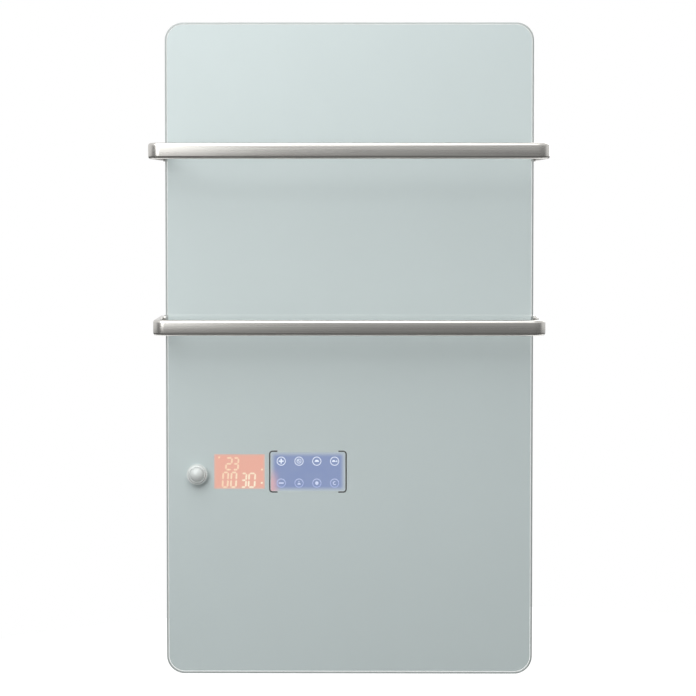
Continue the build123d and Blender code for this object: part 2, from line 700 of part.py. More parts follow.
def rail_end_plugs():
    """Four plugs that close the rail ends and take the rail screws."""
    plugs = []
    for sx in (-1, 1):
        for z in (upper_rail_z, lower_rail_z):
            place = Pos(sx * arm_centre, z)
            core = slab(place * tube_section(RAIL_TUBE_WALL + PLUG_FIT), RAIL_FOOT_DEPTH, RAIL_PLUG_LENGTH)
            cap = slab(place * tube_section(0), RAIL_FOOT_DEPTH - RAIL_PLUG_CAP, RAIL_PLUG_CAP)
            plug = core + cap
            for offset in (-RAIL_SCREW_SPACING / 2, RAIL_SCREW_SPACING / 2):
                tip = sx * (arm_inner + RAIL_TUBE_WALL + RAIL_SCREW_GRIP)
                plug -= rod_x(sx * arm_inner, tip, side_screw_depth, z + offset, RAIL_SCREW_RADIUS)
            plugs.append(plug)
    return Compound(children=plugs)


def rail_block(side, z):
    """A spacer block between the casing's side wall and a rail arm."""
    length = arm_inner - half_casing_width
    sketch = Pos(side * (half_casing_width + length / 2), z) * Rectangle(length, RAIL_BLOCK_HEIGHT)
    body = slab(sketch, rail_block_back, RAIL_BLOCK_LENGTH)
    body = fillet(body.edges().filter_by(Axis.X), RAIL_BLOCK_CORNER)
    for offset in (-RAIL_SCREW_SPACING / 2, RAIL_SCREW_SPACING / 2):
        radius = RAIL_SCREW_RADIUS + SCREW_HOLE_CLEARANCE
        start = side * (half_casing_width - CUT_OVERRUN)
        body -= rod_x(start, side * (arm_inner + CUT_OVERRUN), side_screw_depth, z + offset, radius)
    return body


def rail_block_upper_left():
    """The block at the upper rail's left arm."""
    return rail_block(-1, upper_rail_z)


def rail_block_upper_right():
    """The block at the upper rail's right arm."""
    return rail_block(1, upper_rail_z)


def rail_block_lower_left():
    """The block at the lower rail's left arm."""
    return rail_block(-1, lower_rail_z)


def rail_block_lower_right():
    """The block at the lower rail's right arm."""
    return rail_block(1, lower_rail_z)


def rail_screws():
    """Eight screws from inside the casing into the rails' plugs."""
    screws = []
    for sx in (-1, 1):
        seat = sx * half_leg_inner
        tip = sx * (arm_inner + RAIL_TUBE_WALL + RAIL_SCREW_GRIP)
        head = sx * (half_leg_inner - RAIL_SCREW_HEAD_HEIGHT)
        for z in rail_screw_heights():
            shank = rod_x(seat, tip, side_screw_depth, z, RAIL_SCREW_RADIUS)
            screws.append(shank + rod_x(head, seat, side_screw_depth, z, RAIL_SCREW_HEAD_RADIUS))
    return Compound(children=screws)


def sensor_collar():
    """The sensor's collar and the barrel that passes through the glass."""
    barrel = SENSOR_HOLE_RADIUS - SENSOR_HOLE_CLEARANCE
    bore = barrel - SENSOR_BARREL_WALL
    back = glass_face - SENSOR_BARREL_LENGTH
    board_front_depth = back + SENSOR_BOARD_SETBACK + SENSOR_BOARD_THICKNESS
    body = disc(sensor_x, sensor_z, barrel, back, SENSOR_BARREL_LENGTH)
    body += disc(sensor_x, sensor_z, SENSOR_COLLAR_RADIUS, glass_face, SENSOR_COLLAR_THICKNESS)
    body -= disc(sensor_x, sensor_z, bore, back, board_front_depth - back)
    narrow = bore - SENSOR_SHOULDER
    return body - disc(sensor_x, sensor_z, narrow, back, SENSOR_BARREL_LENGTH + SENSOR_COLLAR_THICKNESS)


def sensor_lens():
    """The translucent dome over the motion sensor."""
    base = glass_face + SENSOR_COLLAR_THICKNESS
    radius = (SENSOR_LENS_RADIUS**2 + SENSOR_LENS_HEIGHT**2) / (2 * SENSOR_LENS_HEIGHT)
    centre = base + SENSOR_LENS_HEIGHT - radius
    place = Pos(sensor_x, -centre, sensor_z)
    dome = place * Sphere(radius) - place * Sphere(radius - SENSOR_LENS_WALL)
    return dome & disc(sensor_x, sensor_z, 2 * SENSOR_LENS_RADIUS, base, 2 * SENSOR_LENS_HEIGHT)


def sensor_nut():
    """The ring nut that clamps the sensor's barrel behind the glass."""
    inner = SENSOR_HOLE_RADIUS - SENSOR_HOLE_CLEARANCE
    depth = coat_back - SENSOR_NUT_THICKNESS
    return ring(sensor_x, sensor_z, inner + SENSOR_NUT_WALL, inner, depth, SENSOR_NUT_THICKNESS)


def sensor_board():
    """The round board against the barrel's shoulder."""
    radius = SENSOR_HOLE_RADIUS - SENSOR_HOLE_CLEARANCE - SENSOR_BARREL_WALL
    back = glass_face - SENSOR_BARREL_LENGTH + SENSOR_BOARD_SETBACK
    return disc(sensor_x, sensor_z, radius - PLUG_FIT, back, SENSOR_BOARD_THICKNESS)


def sensor_element():
    """The metal can of the motion sensor, on its board."""
    back = glass_face - SENSOR_BARREL_LENGTH + SENSOR_BOARD_SETBACK + SENSOR_BOARD_THICKNESS
    return disc(sensor_x, sensor_z, SENSOR_CAN_RADIUS, back, SENSOR_CAN_HEIGHT)


def display_cell():
    """The display's front cell, against the clear window in the enamel."""
    width = DISPLAY_WIDTH + 2 * DISPLAY_BORDER
    height = DISPLAY_HEIGHT + 2 * DISPLAY_BORDER
    back = coat_back - DISPLAY_CELL_THICKNESS
    return block(display_x, back, controls_z, width, DISPLAY_CELL_THICKNESS, height)


def display_light():
    """The display's back light, between the cell and the control board."""
    width = DISPLAY_WIDTH + 2 * DISPLAY_BORDER
    height = DISPLAY_HEIGHT + 2 * DISPLAY_BORDER
    return block(display_x, board_front, controls_z, width, DISPLAY_LIGHT_THICKNESS, height)


def key_places():
    """The centres of the touch keys."""
    places = []
    for row in range(KEY_ROWS):
        for column in range(KEYS_PER_ROW):
            x = keys_x + (column - (KEYS_PER_ROW - 1) / 2) * KEY_PITCH_X
            places.append((x, controls_z + (row - (KEY_ROWS - 1) / 2) * KEY_PITCH_Z))
    return places


def key_light_guide():
    """The lit plate behind the touch keys, with a hole for each contact plug."""
    width = KEY_FIELD_WIDTH + 2 * KEY_FIELD_BORDER
    height = KEY_FIELD_HEIGHT + 2 * KEY_FIELD_BORDER
    body = block(keys_x, board_front, controls_z, width, display_stack, height)
    for x, z in key_places():
        body -= disc(x, z, KEY_PLUG_RADIUS + KEY_PLUG_CLEARANCE, board_front, display_stack)
    return body


def key_contacts():
    """The conductive plugs between the board and the glass, one for each key."""
    return Compound(children=[disc(x, z, KEY_PLUG_RADIUS, board_front, display_stack) for x, z in key_places()])


def board_screw_places():
    """Screw places at the control board's corners."""
    x = board_width / 2 - BOARD_SCREW_INSET
    z = board_height / 2 - BOARD_SCREW_INSET
    return [(board_x + sx * x, controls_z + sz * z) for sx in (-1, 1) for sz in (-1, 1)]


def control_board():
    """The board that carries the display and the touch keys."""
    body = block(board_x, board_back, controls_z, board_width, BOARD_THICKNESS, board_height)
    for x, z in board_screw_places():
        body -= disc(x, z, BOARD_SCREW_RADIUS + SCREW_HOLE_CLEARANCE, board_back, BOARD_THICKNESS)
    return body


def control_board_parts():
    """The chips and the connector on the back of the control board."""
    chip_x = board_x - board_width / 4
    solids = [block(chip_x, board_back - CHIP_HEIGHT, controls_z, CHIP_SIDE, CHIP_HEIGHT, CHIP_SIDE)]
    small = CHIP_SIDE / 2
    for sz in (-1, 1):
        z = controls_z + sz * CHIP_SIDE
        solids.append(block(board_x, board_back - CHIP_HEIGHT, z, small, CHIP_HEIGHT, small))
    x = board_x + board_width / 4
    depth = board_back - CONNECTOR_HEIGHT
    solids.append(block(x, depth, controls_z, CONNECTOR_LENGTH, CONNECTOR_HEIGHT, CONNECTOR_WIDTH))
    return Compound(children=solids)


def control_housing():
    """The plastic tray behind the control board, with four screw bosses."""
    outline = Rectangle(housing_width, housing_height)
    inner = Rectangle(housing_width - 2 * CONTROL_HOUSING_WALL, housing_height - 2 * CONTROL_HOUSING_WALL)
    place = Pos(board_x, controls_z)
    body = slab(place * outline, housing_back, CONTROL_HOUSING_DEPTH)
    body -= slab(place * inner, housing_back + CONTROL_HOUSING_WALL, CONTROL_HOUSING_DEPTH)
    floor = housing_back + CONTROL_HOUSING_WALL
    for x, z in board_screw_places():
        body += disc(x, z, BOSS_RADIUS, floor, board_back - floor)
    for x, z in board_screw_places():
        body -= disc(x, z, BOARD_SCREW_RADIUS, board_back - BOARD_SCREW_BITE, BOARD_SCREW_BITE)
    return body


def housing_tape():
    """The adhesive strip between the control housing's rim and the glass."""
    inner = Rectangle(housing_width - 2 * CONTROL_HOUSING_WALL, housing_height - 2 * CONTROL_HOUSING_WALL)
    outline = Pos(board_x, controls_z) * (Rectangle(housing_width, housing_height) - inner)
    return slab(outline, pad_back, BOND_PAD_THICKNESS)


def control_screws():
    """Four screws that hold the control board on its bosses."""
    screws = []
    for x, z in board_screw_places():
        length = BOARD_SCREW_BITE + BOARD_THICKNESS
        shank = disc(x, z, BOARD_SCREW_RADIUS, board_back - BOARD_SCREW_BITE, length)
        screws.append(shank + disc(x, z, BOARD_SCREW_HEAD_RADIUS, board_front, BOARD_SCREW_HEAD_HEIGHT))
    return Compound(children=screws)


def power_housing():
    """The tray of the power unit, on the casing's floor."""
    body = block(power_x, casing_floor, power_z, POWER_WIDTH, POWER_DEPTH, POWER_HEIGHT)
    inner_width = POWER_WIDTH - 2 * POWER_WALL
    inner_height = POWER_HEIGHT - 2 * POWER_WALL
    body -= block(power_x, power_floor, power_z, inner_width, POWER_DEPTH, inner_height)
    for x, z in power_screw_places():
        body += disc(x, z, BOSS_RADIUS, power_floor, POWER_BOARD_STANDOFF)
    for x, z in power_screw_places():
        body -= disc(x, z, BOARD_SCREW_RADIUS, power_floor, POWER_BOARD_STANDOFF)
    return body


def power_screw_places():
    """Screw places at the power board's corners."""
    x = power_board_width / 2 - POWER_BOARD_SCREW_INSET
    z = power_board_height / 2 - POWER_BOARD_SCREW_INSET
    return [(power_x + sx * x, power_z + sz * z) for sx in (-1, 1) for sz in (-1, 1)]


def power_lid():
    """The lid of the power unit."""
    return block(power_x, power_front, power_z, POWER_WIDTH, POWER_LID_THICKNESS, POWER_HEIGHT)


def power_board():
    """The board that switches the heater and feeds the controls."""
    body = block(power_x, power_board_back, power_z, power_board_width, BOARD_THICKNESS, power_board_height)
    for x, z in power_screw_places():
        body -= disc(x, z, BOARD_SCREW_RADIUS + SCREW_HOLE_CLEARANCE, power_board_back, BOARD_THICKNESS)
    return body


def power_screws():
    """Four screws that hold the power board."""
    screws = []
    for x, z in power_screw_places():
        shank = disc(x, z, BOARD_SCREW_RADIUS, power_floor, POWER_BOARD_STANDOFF + BOARD_THICKNESS)
        screws.append(shank + disc(x, z, BOARD_SCREW_HEAD_RADIUS, power_board_front, BOARD_SCREW_HEAD_HEIGHT))
    return Compound(children=screws)


def power_relay():
    """The relay that switches the heating film."""
    x = power_x - power_board_width / 4
    z = power_z + power_board_height / 4
    return block(x, power_board_front, z, RELAY_LENGTH, RELAY_HEIGHT, RELAY_WIDTH)


def power_transformer():
    """The small transformer: a core with a wider bobbin round it."""
    x = power_x + power_board_width / 6
    z = power_z + power_board_height / 6
    core = block(x, power_board_front, z, TRANSFORMER_WIDTH, TRANSFORMER_HEIGHT, TRANSFORMER_LENGTH)
    bobbin = block(x, power_board_front, z, TRANSFORMER_LENGTH, TRANSFORMER_BOBBIN_HEIGHT, TRANSFORMER_BOBBIN_LENGTH)
    return core + bobbin


def power_capacitors():
    """Two round capacitors."""
    z = power_z - power_board_height / 6
    cans = []
    for index in (0, 1):
        x = power_x - power_board_width / 4 + index * (2 * CAPACITOR_RADIUS + PART_GAP)
        cans.append(disc(x, z, CAPACITOR_RADIUS, power_board_front, CAPACITOR_HEIGHT))
    return Compound(children=cans)


def power_fuse():
    """The fuse and the block that holds it."""
    x = power_x - power_board_width / 4
    z = power_z - power_board_height / 3
    body = block(x, power_board_front, z, FUSE_LENGTH + PART_GAP, FUSE_HOLDER_HEIGHT, FUSE_HOLDER_WIDTH)
    depth = power_board_front + FUSE_HOLDER_HEIGHT
    return body + rod_x(x - FUSE_LENGTH / 2, x + FUSE_LENGTH / 2, depth, z, FUSE_RADIUS)


def terminal_x(pole):
    """The place of one pole of the terminal block, in line with the gland."""
    return gland_x + (pole - (TERMINAL_POLES - 1) / 2) * TERMINAL_PITCH


def terminal_block():
    """The mains terminal block with its open screw wells."""
    length = TERMINAL_POLES * TERMINAL_PITCH
    z = power_z - power_board_height / 2 + TERMINAL_WIDTH + PART_GAP
    body = block(gland_x, power_board_front, z, length, TERMINAL_HEIGHT, TERMINAL_WIDTH)
    for pole in range(TERMINAL_POLES):
        well = disc(terminal_x(pole), z, TERMINAL_SCREW_RADIUS, power_board_front, TERMINAL_HEIGHT)
        body -= Pos(0, -TERMINAL_HEIGHT / 2, 0) * well
    return body


def hex_prism(x, depth, z_from, height):
    """A hexagonal prism along Z with the gland's size across flats."""
    radius = GLAND_HEX_ACROSS_FLATS / 2
    plane = Plane(origin=(x, -depth, z_from), z_dir=(0, 0, 1))
    return extrude(plane * RegularPolygon(radius, 6, major_radius=False), amount=height)


def cable_gland():
    """The gland body: thread, hexagonal flange and round cap, with the cable's bore."""
    flange_bottom = casing_bottom - GLAND_FLANGE_HEIGHT
    cap_bottom = flange_bottom - GLAND_CAP_HEIGHT
    thread_top = casing_inside_bottom + GLAND_THREAD_LENGTH
    body = rod_z(gland_x, GLAND_DEPTH, casing_bottom, thread_top, GLAND_THREAD_RADIUS)
    body += hex_prism(gland_x, GLAND_DEPTH, flange_bottom, GLAND_FLANGE_HEIGHT)
    body += rod_z(gland_x, GLAND_DEPTH, cap_bottom, flange_bottom, GLAND_CAP_RADIUS)
    return body - rod_z(gland_x, GLAND_DEPTH, cap_bottom, thread_top, GLAND_BORE_RADIUS)


def gland_nut():
    """The nut that holds the gland inside the casing."""
    body = hex_prism(gland_x, GLAND_DEPTH, casing_inside_bottom, GLAND_NUT_HEIGHT)
    top = casing_inside_bottom + GLAND_NUT_HEIGHT
    return body - rod_z(gland_x, GLAND_DEPTH, casing_inside_bottom, top, GLAND_THREAD_RADIUS)


def switch_body():
    """The mains switch's case with its bezel and the rocker's bearing holes."""
    inner = half_casing_width - SWITCH_BODY_DEPTH
    outer = half_casing_width + SWITCH_BEZEL_THICKNESS
    width = SWITCH_WIDTH
    back = switch_depth - width / 2
    body = block((inner + outer) / 2, back, switch_z, outer - inner, width, SWITCH_HEIGHT)
    bezel_x = half_casing_width + SWITCH_BEZEL_THICKNESS / 2
    overlap = SWITCH_BEZEL_OVERLAP
    bezel_height = SWITCH_HEIGHT + 2 * overlap
    body += block(bezel_x, back - overlap, switch_z, SWITCH_BEZEL_THICKNESS, width + 2 * overlap, bezel_height)
    well_width = width - 2 * SWITCH_WALL
    well_height = SWITCH_HEIGHT - 2 * SWITCH_WALL
    well_from = inner + SWITCH_WALL
    well_x = (well_from + outer) / 2
    body -= block(well_x, back + SWITCH_WALL, switch_z, outer - well_from, well_width, well_height)
    return body - disc(pivot_x, switch_z, ROCKER_PIN_RADIUS + ROCKER_PIN_FIT, back, width)


def mains_rocker():
    """The rocker, built in its off position with its lower end pressed in."""
    width = SWITCH_WIDTH - 2 * SWITCH_WALL - 2 * ROCKER_FIT
    half = SWITCH_HEIGHT / 2 - SWITCH_WALL - ROCKER_END_CLEARANCE
    low = -ROCKER_THICKNESS / 2
    high = ROCKER_THICKNESS / 2
    profile = Polygon(
        (low, -half), (high + ROCKER_RISE, -half), (high, 0), (high + ROCKER_RISE, half), (low, half), align=None
    )
    back = switch_depth - width / 2
    body = slab(profile, back, width)
    pin_length = SWITCH_WIDTH - 2 * ROCKER_FIT
    body += disc(0, 0, ROCKER_PIN_RADIUS, switch_depth - pin_length / 2, pin_length)
    return Pos(pivot_x, 0, switch_z) * Rot(0, -ROCKER_TILT, 0) * body


def probe_clip():
    """The clip that stands on the bottom wall and holds the room probe."""
    inner = PROBE_RADIUS + CLIP_FIT
    outer = inner + CLIP_WALL
    body = rod_x(probe_x - CLIP_LENGTH / 2, probe_x + CLIP_LENGTH / 2, probe_depth, probe_z, outer)
    stem_height = probe_z - casing_inside_bottom
    middle = casing_inside_bottom + stem_height / 2
    body += block(probe_x, probe_depth - outer, middle, CLIP_LENGTH, 2 * outer, stem_height)
    return body - rod_x(probe_x - CLIP_LENGTH, probe_x + CLIP_LENGTH, probe_depth, probe_z, inner)


def room_probe():
    """The room temperature probe in its clip."""
    return rod_x(probe_x - PROBE_LENGTH / 2, probe_x + PROBE_LENGTH / 2, probe_depth, probe_z, PROBE_RADIUS)


def film_leads():
    """Leads from each cut-out down to the power unit."""
    (upper_x, upper_z), (lower_x, lower_z) = cutout_places
    start = spreader_back - CUTOUT_HEIGHT
    run = WIRE_RUN_DEPTH
    knee = heat_bottom - WIRE_KNEE_DROP
    drop_x = upper_x - 2 * WIRE_SPACING
    upper = ((upper_x, -start, upper_z), (upper_x, -run, upper_z), (upper_x, -run, power_top))
    lower = ((lower_x, -start, lower_z), (lower_x, -run, lower_z), (lower_x, -run, knee))
    lower += ((drop_x, -run, knee), (drop_x, -run, power_top))
    return Compound(children=[wire(points, WIRE_RADIUS, WIRE_BEND_RADIUS) for points in (upper, lower)])


def control_ribbon():
    """The flat cable from the control housing to the power unit."""
    depth = (housing_back + pad_back) / 2
    end_x = power_x + power_board_width / 8
    points = ((housing_right, -depth, controls_z), (end_x, -depth, controls_z), (end_x, -depth, power_top))
    path = FilletPolyline(*points, radius=RIBBON_BEND_RADIUS)
    section = Plane(origin=path @ 0, x_dir=(0, 1, 0), z_dir=path % 0) * Rectangle(RIBBON_WIDTH, RIBBON_THICKNESS)
    return sweep(section, path=path)


def sensor_lead():
    """The lead from the sensor's board to the control housing."""
    start = glass_face - SENSOR_BARREL_LENGTH + SENSOR_BOARD_SETBACK
    bend = WIRE_BEND_RADIUS / 2
    depth = start - 2 * bend
    points = ((sensor_x, -start, sensor_z), (sensor_x, -depth, sensor_z), (housing_left, -depth, sensor_z))
    return wire(points, WIRE_RADIUS, bend)


def mains_wires():
    """The conductors from the gland to the power unit and from it to the switch."""
    wires = []
    gland_top = casing_inside_bottom + GLAND_THREAD_LENGTH
    spread = 2 * WIRE_RADIUS + SCREW_HOLE_CLEARANCE
    for pole in range(TERMINAL_POLES):
        x = gland_x + (pole - (TERMINAL_POLES - 1) / 2) * spread
        wires.append(rod_z(x, GLAND_DEPTH, gland_top, power_bottom, WIRE_RADIUS))
    inner = half_casing_width - SWITCH_BODY_DEPTH
    for sz in (-1, 1):
        wires.append(rod_x(power_right, inner, switch_depth, switch_z + sz * WIRE_SPACING, WIRE_RADIUS))
    return Compound(children=wires)


def earth_stud():
    """The earth stud on the casing's floor with its lug, left of the power unit."""
    x = power_x - POWER_WIDTH / 2 - EARTH_OFFSET_X
    body = disc(x, power_z, EARTH_STUD_RADIUS, casing_floor, EARTH_STUD_LENGTH)
    lug = SlotOverall(EARTH_LUG_LENGTH, 3 * EARTH_STUD_RADIUS)
    return body + slab(Pos(x, power_z) * lug, casing_floor, EARTH_LUG_THICKNESS)


def earth_wire():
    """The wire from the earth lug to the power unit."""
    x = power_x - POWER_WIDTH / 2 - EARTH_OFFSET_X + EARTH_LUG_LENGTH / 2
    depth = casing_floor + EARTH_LUG_THICKNESS / 2 + WIRE_RADIUS
    return rod_x(x, power_x - POWER_WIDTH / 2, depth, power_z, WIRE_RADIUS)


NODES = (
    wall_bracket,
    hook_plates,
    wall_bumpers,
    rear_casing,
    bond_frame,
    bond_pad,
    glass_front,
    enamel_coat,
    heating_film,
    heat_spreader,
    insulation_board,
    reflector_foil,
    thermal_cutouts,
    clamp_bar_upper,
    clamp_bar_middle,
    clamp_bar_lower,
    side_screws,
    upper_rail,
    lower_rail,
    rail_end_plugs,
    rail_block_upper_left,
    rail_block_upper_right,
    rail_block_lower_left,
    rail_block_lower_right,
    rail_screws,
    sensor_collar,
    sensor_lens,
    sensor_nut,
    sensor_board,
    sensor_element,
    display_cell,
    display_light,
    key_light_guide,
    key_contacts,
    control_board,
    control_board_parts,
    control_housing,
    housing_tape,
    control_screws,
    power_housing,
    power_lid,
    power_board,
    power_screws,
    power_relay,
    power_transformer,
    power_capacitors,
    power_fuse,
    terminal_block,
    cable_gland,
    gland_nut,
    switch_body,
    mains_rocker,
    probe_clip,
    room_probe,
    film_leads,
    control_ribbon,
    sensor_lead,
    mains_wires,
    earth_stud,
    earth_wire,
)

for make in NODES:
    export_step(make(), f"parts/{make.__name__}.step")
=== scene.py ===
"""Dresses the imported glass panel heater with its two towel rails.

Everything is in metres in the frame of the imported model: the wall is y = 0, the front
faces -y, and the origin is the middle of the wall bracket's hole pattern.
"""

import logging
import math
from dataclasses import dataclass
from enum import Enum

import bmesh
import bpy
from bmesh.types import BMesh, BMVert
from bpy.types import ID, Material, Mesh, Node, NodeOutputs, NodeSocket, NodeTree, Object
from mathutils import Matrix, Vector


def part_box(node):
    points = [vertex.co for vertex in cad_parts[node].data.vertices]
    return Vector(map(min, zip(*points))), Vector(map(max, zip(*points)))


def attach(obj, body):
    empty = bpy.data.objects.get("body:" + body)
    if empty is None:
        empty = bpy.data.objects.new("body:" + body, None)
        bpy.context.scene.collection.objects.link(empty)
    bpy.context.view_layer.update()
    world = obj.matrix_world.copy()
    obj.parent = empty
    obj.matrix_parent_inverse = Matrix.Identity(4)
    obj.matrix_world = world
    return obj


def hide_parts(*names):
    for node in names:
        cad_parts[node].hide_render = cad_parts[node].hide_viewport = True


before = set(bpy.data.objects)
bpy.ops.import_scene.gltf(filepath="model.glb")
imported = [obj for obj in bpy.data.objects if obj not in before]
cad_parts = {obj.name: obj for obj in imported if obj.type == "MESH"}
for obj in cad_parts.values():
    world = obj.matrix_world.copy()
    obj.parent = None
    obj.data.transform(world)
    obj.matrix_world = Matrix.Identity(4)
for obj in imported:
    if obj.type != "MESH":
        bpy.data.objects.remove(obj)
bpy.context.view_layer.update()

log = logging.getLogger("towel_rail")
logging.basicConfig(level=logging.INFO, format="%(message)s")

HEATER = "heater"
WHITE = (1.0, 1.0, 1.0, 1.0)
BLACK = (0.0, 0.0, 0.0, 1.0)
QUARTER_TURN = math.pi / 2
FULL_TURN = 2 * math.pi
# The lit numbers, rings and signs are thin plates between these two depths.
SIGN_BACK = -0.04784
SIGN_FRONT = -0.04796

Colour = tuple[float, float, float]
Point = tuple[float, float]
Spot = tuple[float, float, float]
Inputs = dict[str | int, object]


class Nodes:
    """The nodes of a material, a world or a geometry tree under construction."""

    def __init__(self, tree: NodeTree) -> None:
        """Starts on a tree without named inputs."""
        self.tree = tree
        self.entry: Node | None = None

    def feed(self, node: Node, inputs: Inputs) -> None:
        """Gives a node's inputs their links and values.

        Args:
            node: The node.
            inputs: Each input's name or number with a socket, a named input or a value.
        """
        for key, value in inputs.items():
            if isinstance(value, str):
                value = self.entry.outputs[value]
            if isinstance(value, NodeSocket):
                self.tree.links.new(value, node.inputs[key])
            else:
                node.inputs[key].default_value = value

    def node(self, kind: str, inputs: Inputs | None = None, **options: object) -> Node:
        """Adds a node, sets its options and feeds its inputs.

        Args:
            kind: The node's type.
            inputs: What its inputs get, as for feed.
            **options: The node's own options.

        Returns:
            The new node.
        """
        made = self.tree.nodes.new(kind)
        for option, value in options.items():
            setattr(made, option, value)
        self.feed(made, inputs or {})
        return made

    def add(self, kind: str, inputs: Inputs | None = None, **options: object) -> NodeSocket:
        """Adds a node, as node does, and returns its first output."""
        return self.node(kind, inputs, **options).outputs[0]

    def maths(self, operation: str, first: object, second: object = 0.0) -> NodeSocket:
        """Works out one value from two."""
        return self.add("ShaderNodeMath", {0: first, 1: second}, operation=operation)

    def remap(self, value: object, start: object, end: object, low: object = 0.0, high: object = 1.0,
              **options: object) -> NodeSocket:
        """Goes from low to high while the value goes from start to end."""
        inputs = {"Value": value, "From Min": start, "From Max": end, "To Min": low, "To Max": high}
        return self.add("ShaderNodeMapRange", inputs, **options)

    def mix(self, share: object, first: object, second: object) -> NodeSocket:
        """Mixes two colours by the share of the second."""
        return self.add("ShaderNodeMixRGB", {"Fac": share, "Color1": first, "Color2": second})

    def vector(self, x: object = 0.0, y: object = 0.0, z: object = 0.0) -> NodeSocket:
        """Puts three numbers together."""
        return self.add("ShaderNodeCombineXYZ", {"X": x, "Y": y, "Z": z})

    def place(self, kind: str = "Object") -> NodeSocket:
        """Returns the shaded place in one kind of coordinates."""
        return self.node("ShaderNodeTexCoord").outputs[kind]

    def axes(self, place: NodeSocket) -> NodeOutputs:
        """Splits a place into X, Y and Z."""
        return self.node("ShaderNodeSeparateXYZ", {"Vector": place}).outputs


class Grain(Enum):
    """The kinds of surface detail that a finish can carry."""

    BRUSHED_X = (4.0, 900.0, 900.0)
    BRUSHED_Y = (900.0, 4.0, 900.0)
    MOULDED = (900.0, 900.0, 900.0)
    CLOUDY = (9.0, 9.0, 9.0)
    SPECKLED = (260.0, 260.0, 260.0)


@dataclass(frozen=True)
class Surface:
    """A named look, whose material is built once.

    Args:
        name: The look in a maker's words.
    """

    name: str

    def material(self) -> Material:
        """Builds the material at the first call and returns it.

        Returns:
            The material with this look's name.
        """
        made = bpy.data.materials.get(self.name)
        if made is None:
            made = bpy.data.materials.new(self.name)
            made.use_nodes = True
            self.dress(Nodes(made.node_tree), made.node_tree.nodes["Principled BSDF"])
        return made

    def dress(self, nodes: Nodes, shader: Node) -> None:
        """Sets up the shader, which each kind of look does in its own way."""
        raise NotImplementedError


@dataclass(frozen=True)
class Finish(Surface):
    """A surface finish whose colour, roughness and relief vary a little over the piece.

    Args:
        colour: The main colour, linear.
        grain: The kind and direction of the detail.
        metallic: 1 for bare metal.
        roughness: The middle of the roughness range.
        spread: How far the roughness goes either side of the middle.
        variation: How far the colour darkens in the detail, as a share.
        relief: The strength of the bump, 0 for none.
        coat: The weight of a clear coat.
        transmission: 1 for clear glass or plastic.
        subsurface: The weight of light scattered inside.
    """

    colour: Colour
    grain: Grain
    metallic: float = 0.0
    roughness: float = 0.45
    spread: float = 0.06
    variation: float = 0.06
    relief: float = 0.10
    coat: float = 0.0
    transmission: float = 0.0
    subsurface: float = 0.0

    def dress(self, nodes: Nodes, shader: Node) -> None:
        """Sets the shader's weights, and drives colour, roughness and relief by one noise.

        Args:
            nodes: The material's nodes.
            shader: The shader.
        """
        stretched = nodes.add("ShaderNodeMapping", {"Vector": nodes.place(), "Scale": self.grain.value})
        detail = nodes.add("ShaderNodeTexNoise", {"Vector": stretched, "Scale": 1.0, "Detail": 4.0})
        darker = [part * (1 - self.variation) for part in self.colour]
        smoothest = max(self.roughness - self.spread, 0.0)
        nodes.feed(shader, {
            "Base Color": nodes.mix(detail, (*darker, 1.0), (*self.colour, 1.0)),
            "Roughness": nodes.remap(detail, 0.0, 1.0, smoothest, self.roughness + self.spread),
            "Metallic": self.metallic,
            "Coat Weight": self.coat,
            "Coat Roughness": 0.04,
            "Transmission Weight": self.transmission,
            "Subsurface Weight": self.subsurface,
            "Subsurface Scale": 0.004,
            "Subsurface Radius": (1.0, 1.0, 1.0),
        })
        if self.relief:
            bump = {"Strength": self.relief, "Distance": 0.0002, "Height": detail}
            nodes.feed(shader, {"Normal": nodes.add("ShaderNodeBump", bump)})


STEEL = Finish("brushed_steel", (0.63, 0.615, 0.585), Grain.BRUSHED_X, metallic=1.0, roughness=0.28,
               spread=0.05, variation=0.12)
BLOCK_STEEL = Finish("turned_steel", (0.50, 0.49, 0.47), Grain.BRUSHED_Y, metallic=1.0, roughness=0.36,
                     variation=0.12, relief=0.12)
ZINC = Finish("zinc_plate", (0.55, 0.56, 0.57), Grain.SPECKLED, metallic=1.0, roughness=0.38, spread=0.10,
              variation=0.18, relief=0.06)
POWDER_COAT = Finish("white_powder_coat", (0.72, 0.73, 0.73), Grain.MOULDED, roughness=0.48, variation=0.04,
                     relief=0.22)
ALUMINIUM = Finish("mill_aluminium", (0.68, 0.69, 0.70), Grain.BRUSHED_X, metallic=1.0, roughness=0.30,
                   variation=0.08, relief=0.06)
FOIL = Finish("aluminium_foil", (0.80, 0.81, 0.82), Grain.SPECKLED, metallic=1.0, roughness=0.22, spread=0.10,
              variation=0.10, relief=0.30)
BLACK_PLASTIC = Finish("black_moulding", (0.020, 0.020, 0.022), Grain.MOULDED, roughness=0.52, spread=0.08,
                       variation=0.25, relief=0.20)
GREY_PLASTIC = Finish("grey_moulding", (0.24, 0.25, 0.26), Grain.MOULDED, roughness=0.50, spread=0.08,
                      variation=0.10, relief=0.18)
WHITE_PLASTIC = Finish("white_moulding", (0.66, 0.67, 0.66), Grain.MOULDED, roughness=0.42, variation=0.05,
                       relief=0.12)
LENS = Finish("frosted_lens", (0.76, 0.80, 0.785), Grain.CLOUDY, roughness=0.36, variation=0.04, relief=0.04,
              coat=0.2, subsurface=0.25)
CLEAR_GLASS = Finish("clear_glass", (0.985, 0.995, 0.99), Grain.CLOUDY, roughness=0.02, spread=0.008,
                     variation=0.01, relief=0.0, transmission=1.0)
GROUND_EDGE = Finish("ground_edge", (0.46, 0.50, 0.49), Grain.SPECKLED, roughness=0.40, variation=0.12,
                     relief=0.05, transmission=0.3)
RUBBER = Finish("black_rubber", (0.035, 0.035, 0.036), Grain.SPECKLED, roughness=0.78, spread=0.08,
                variation=0.20, relief=0.25)
SILICONE = Finish("pale_silicone", (0.55, 0.56, 0.55), Grain.CLOUDY, roughness=0.60)
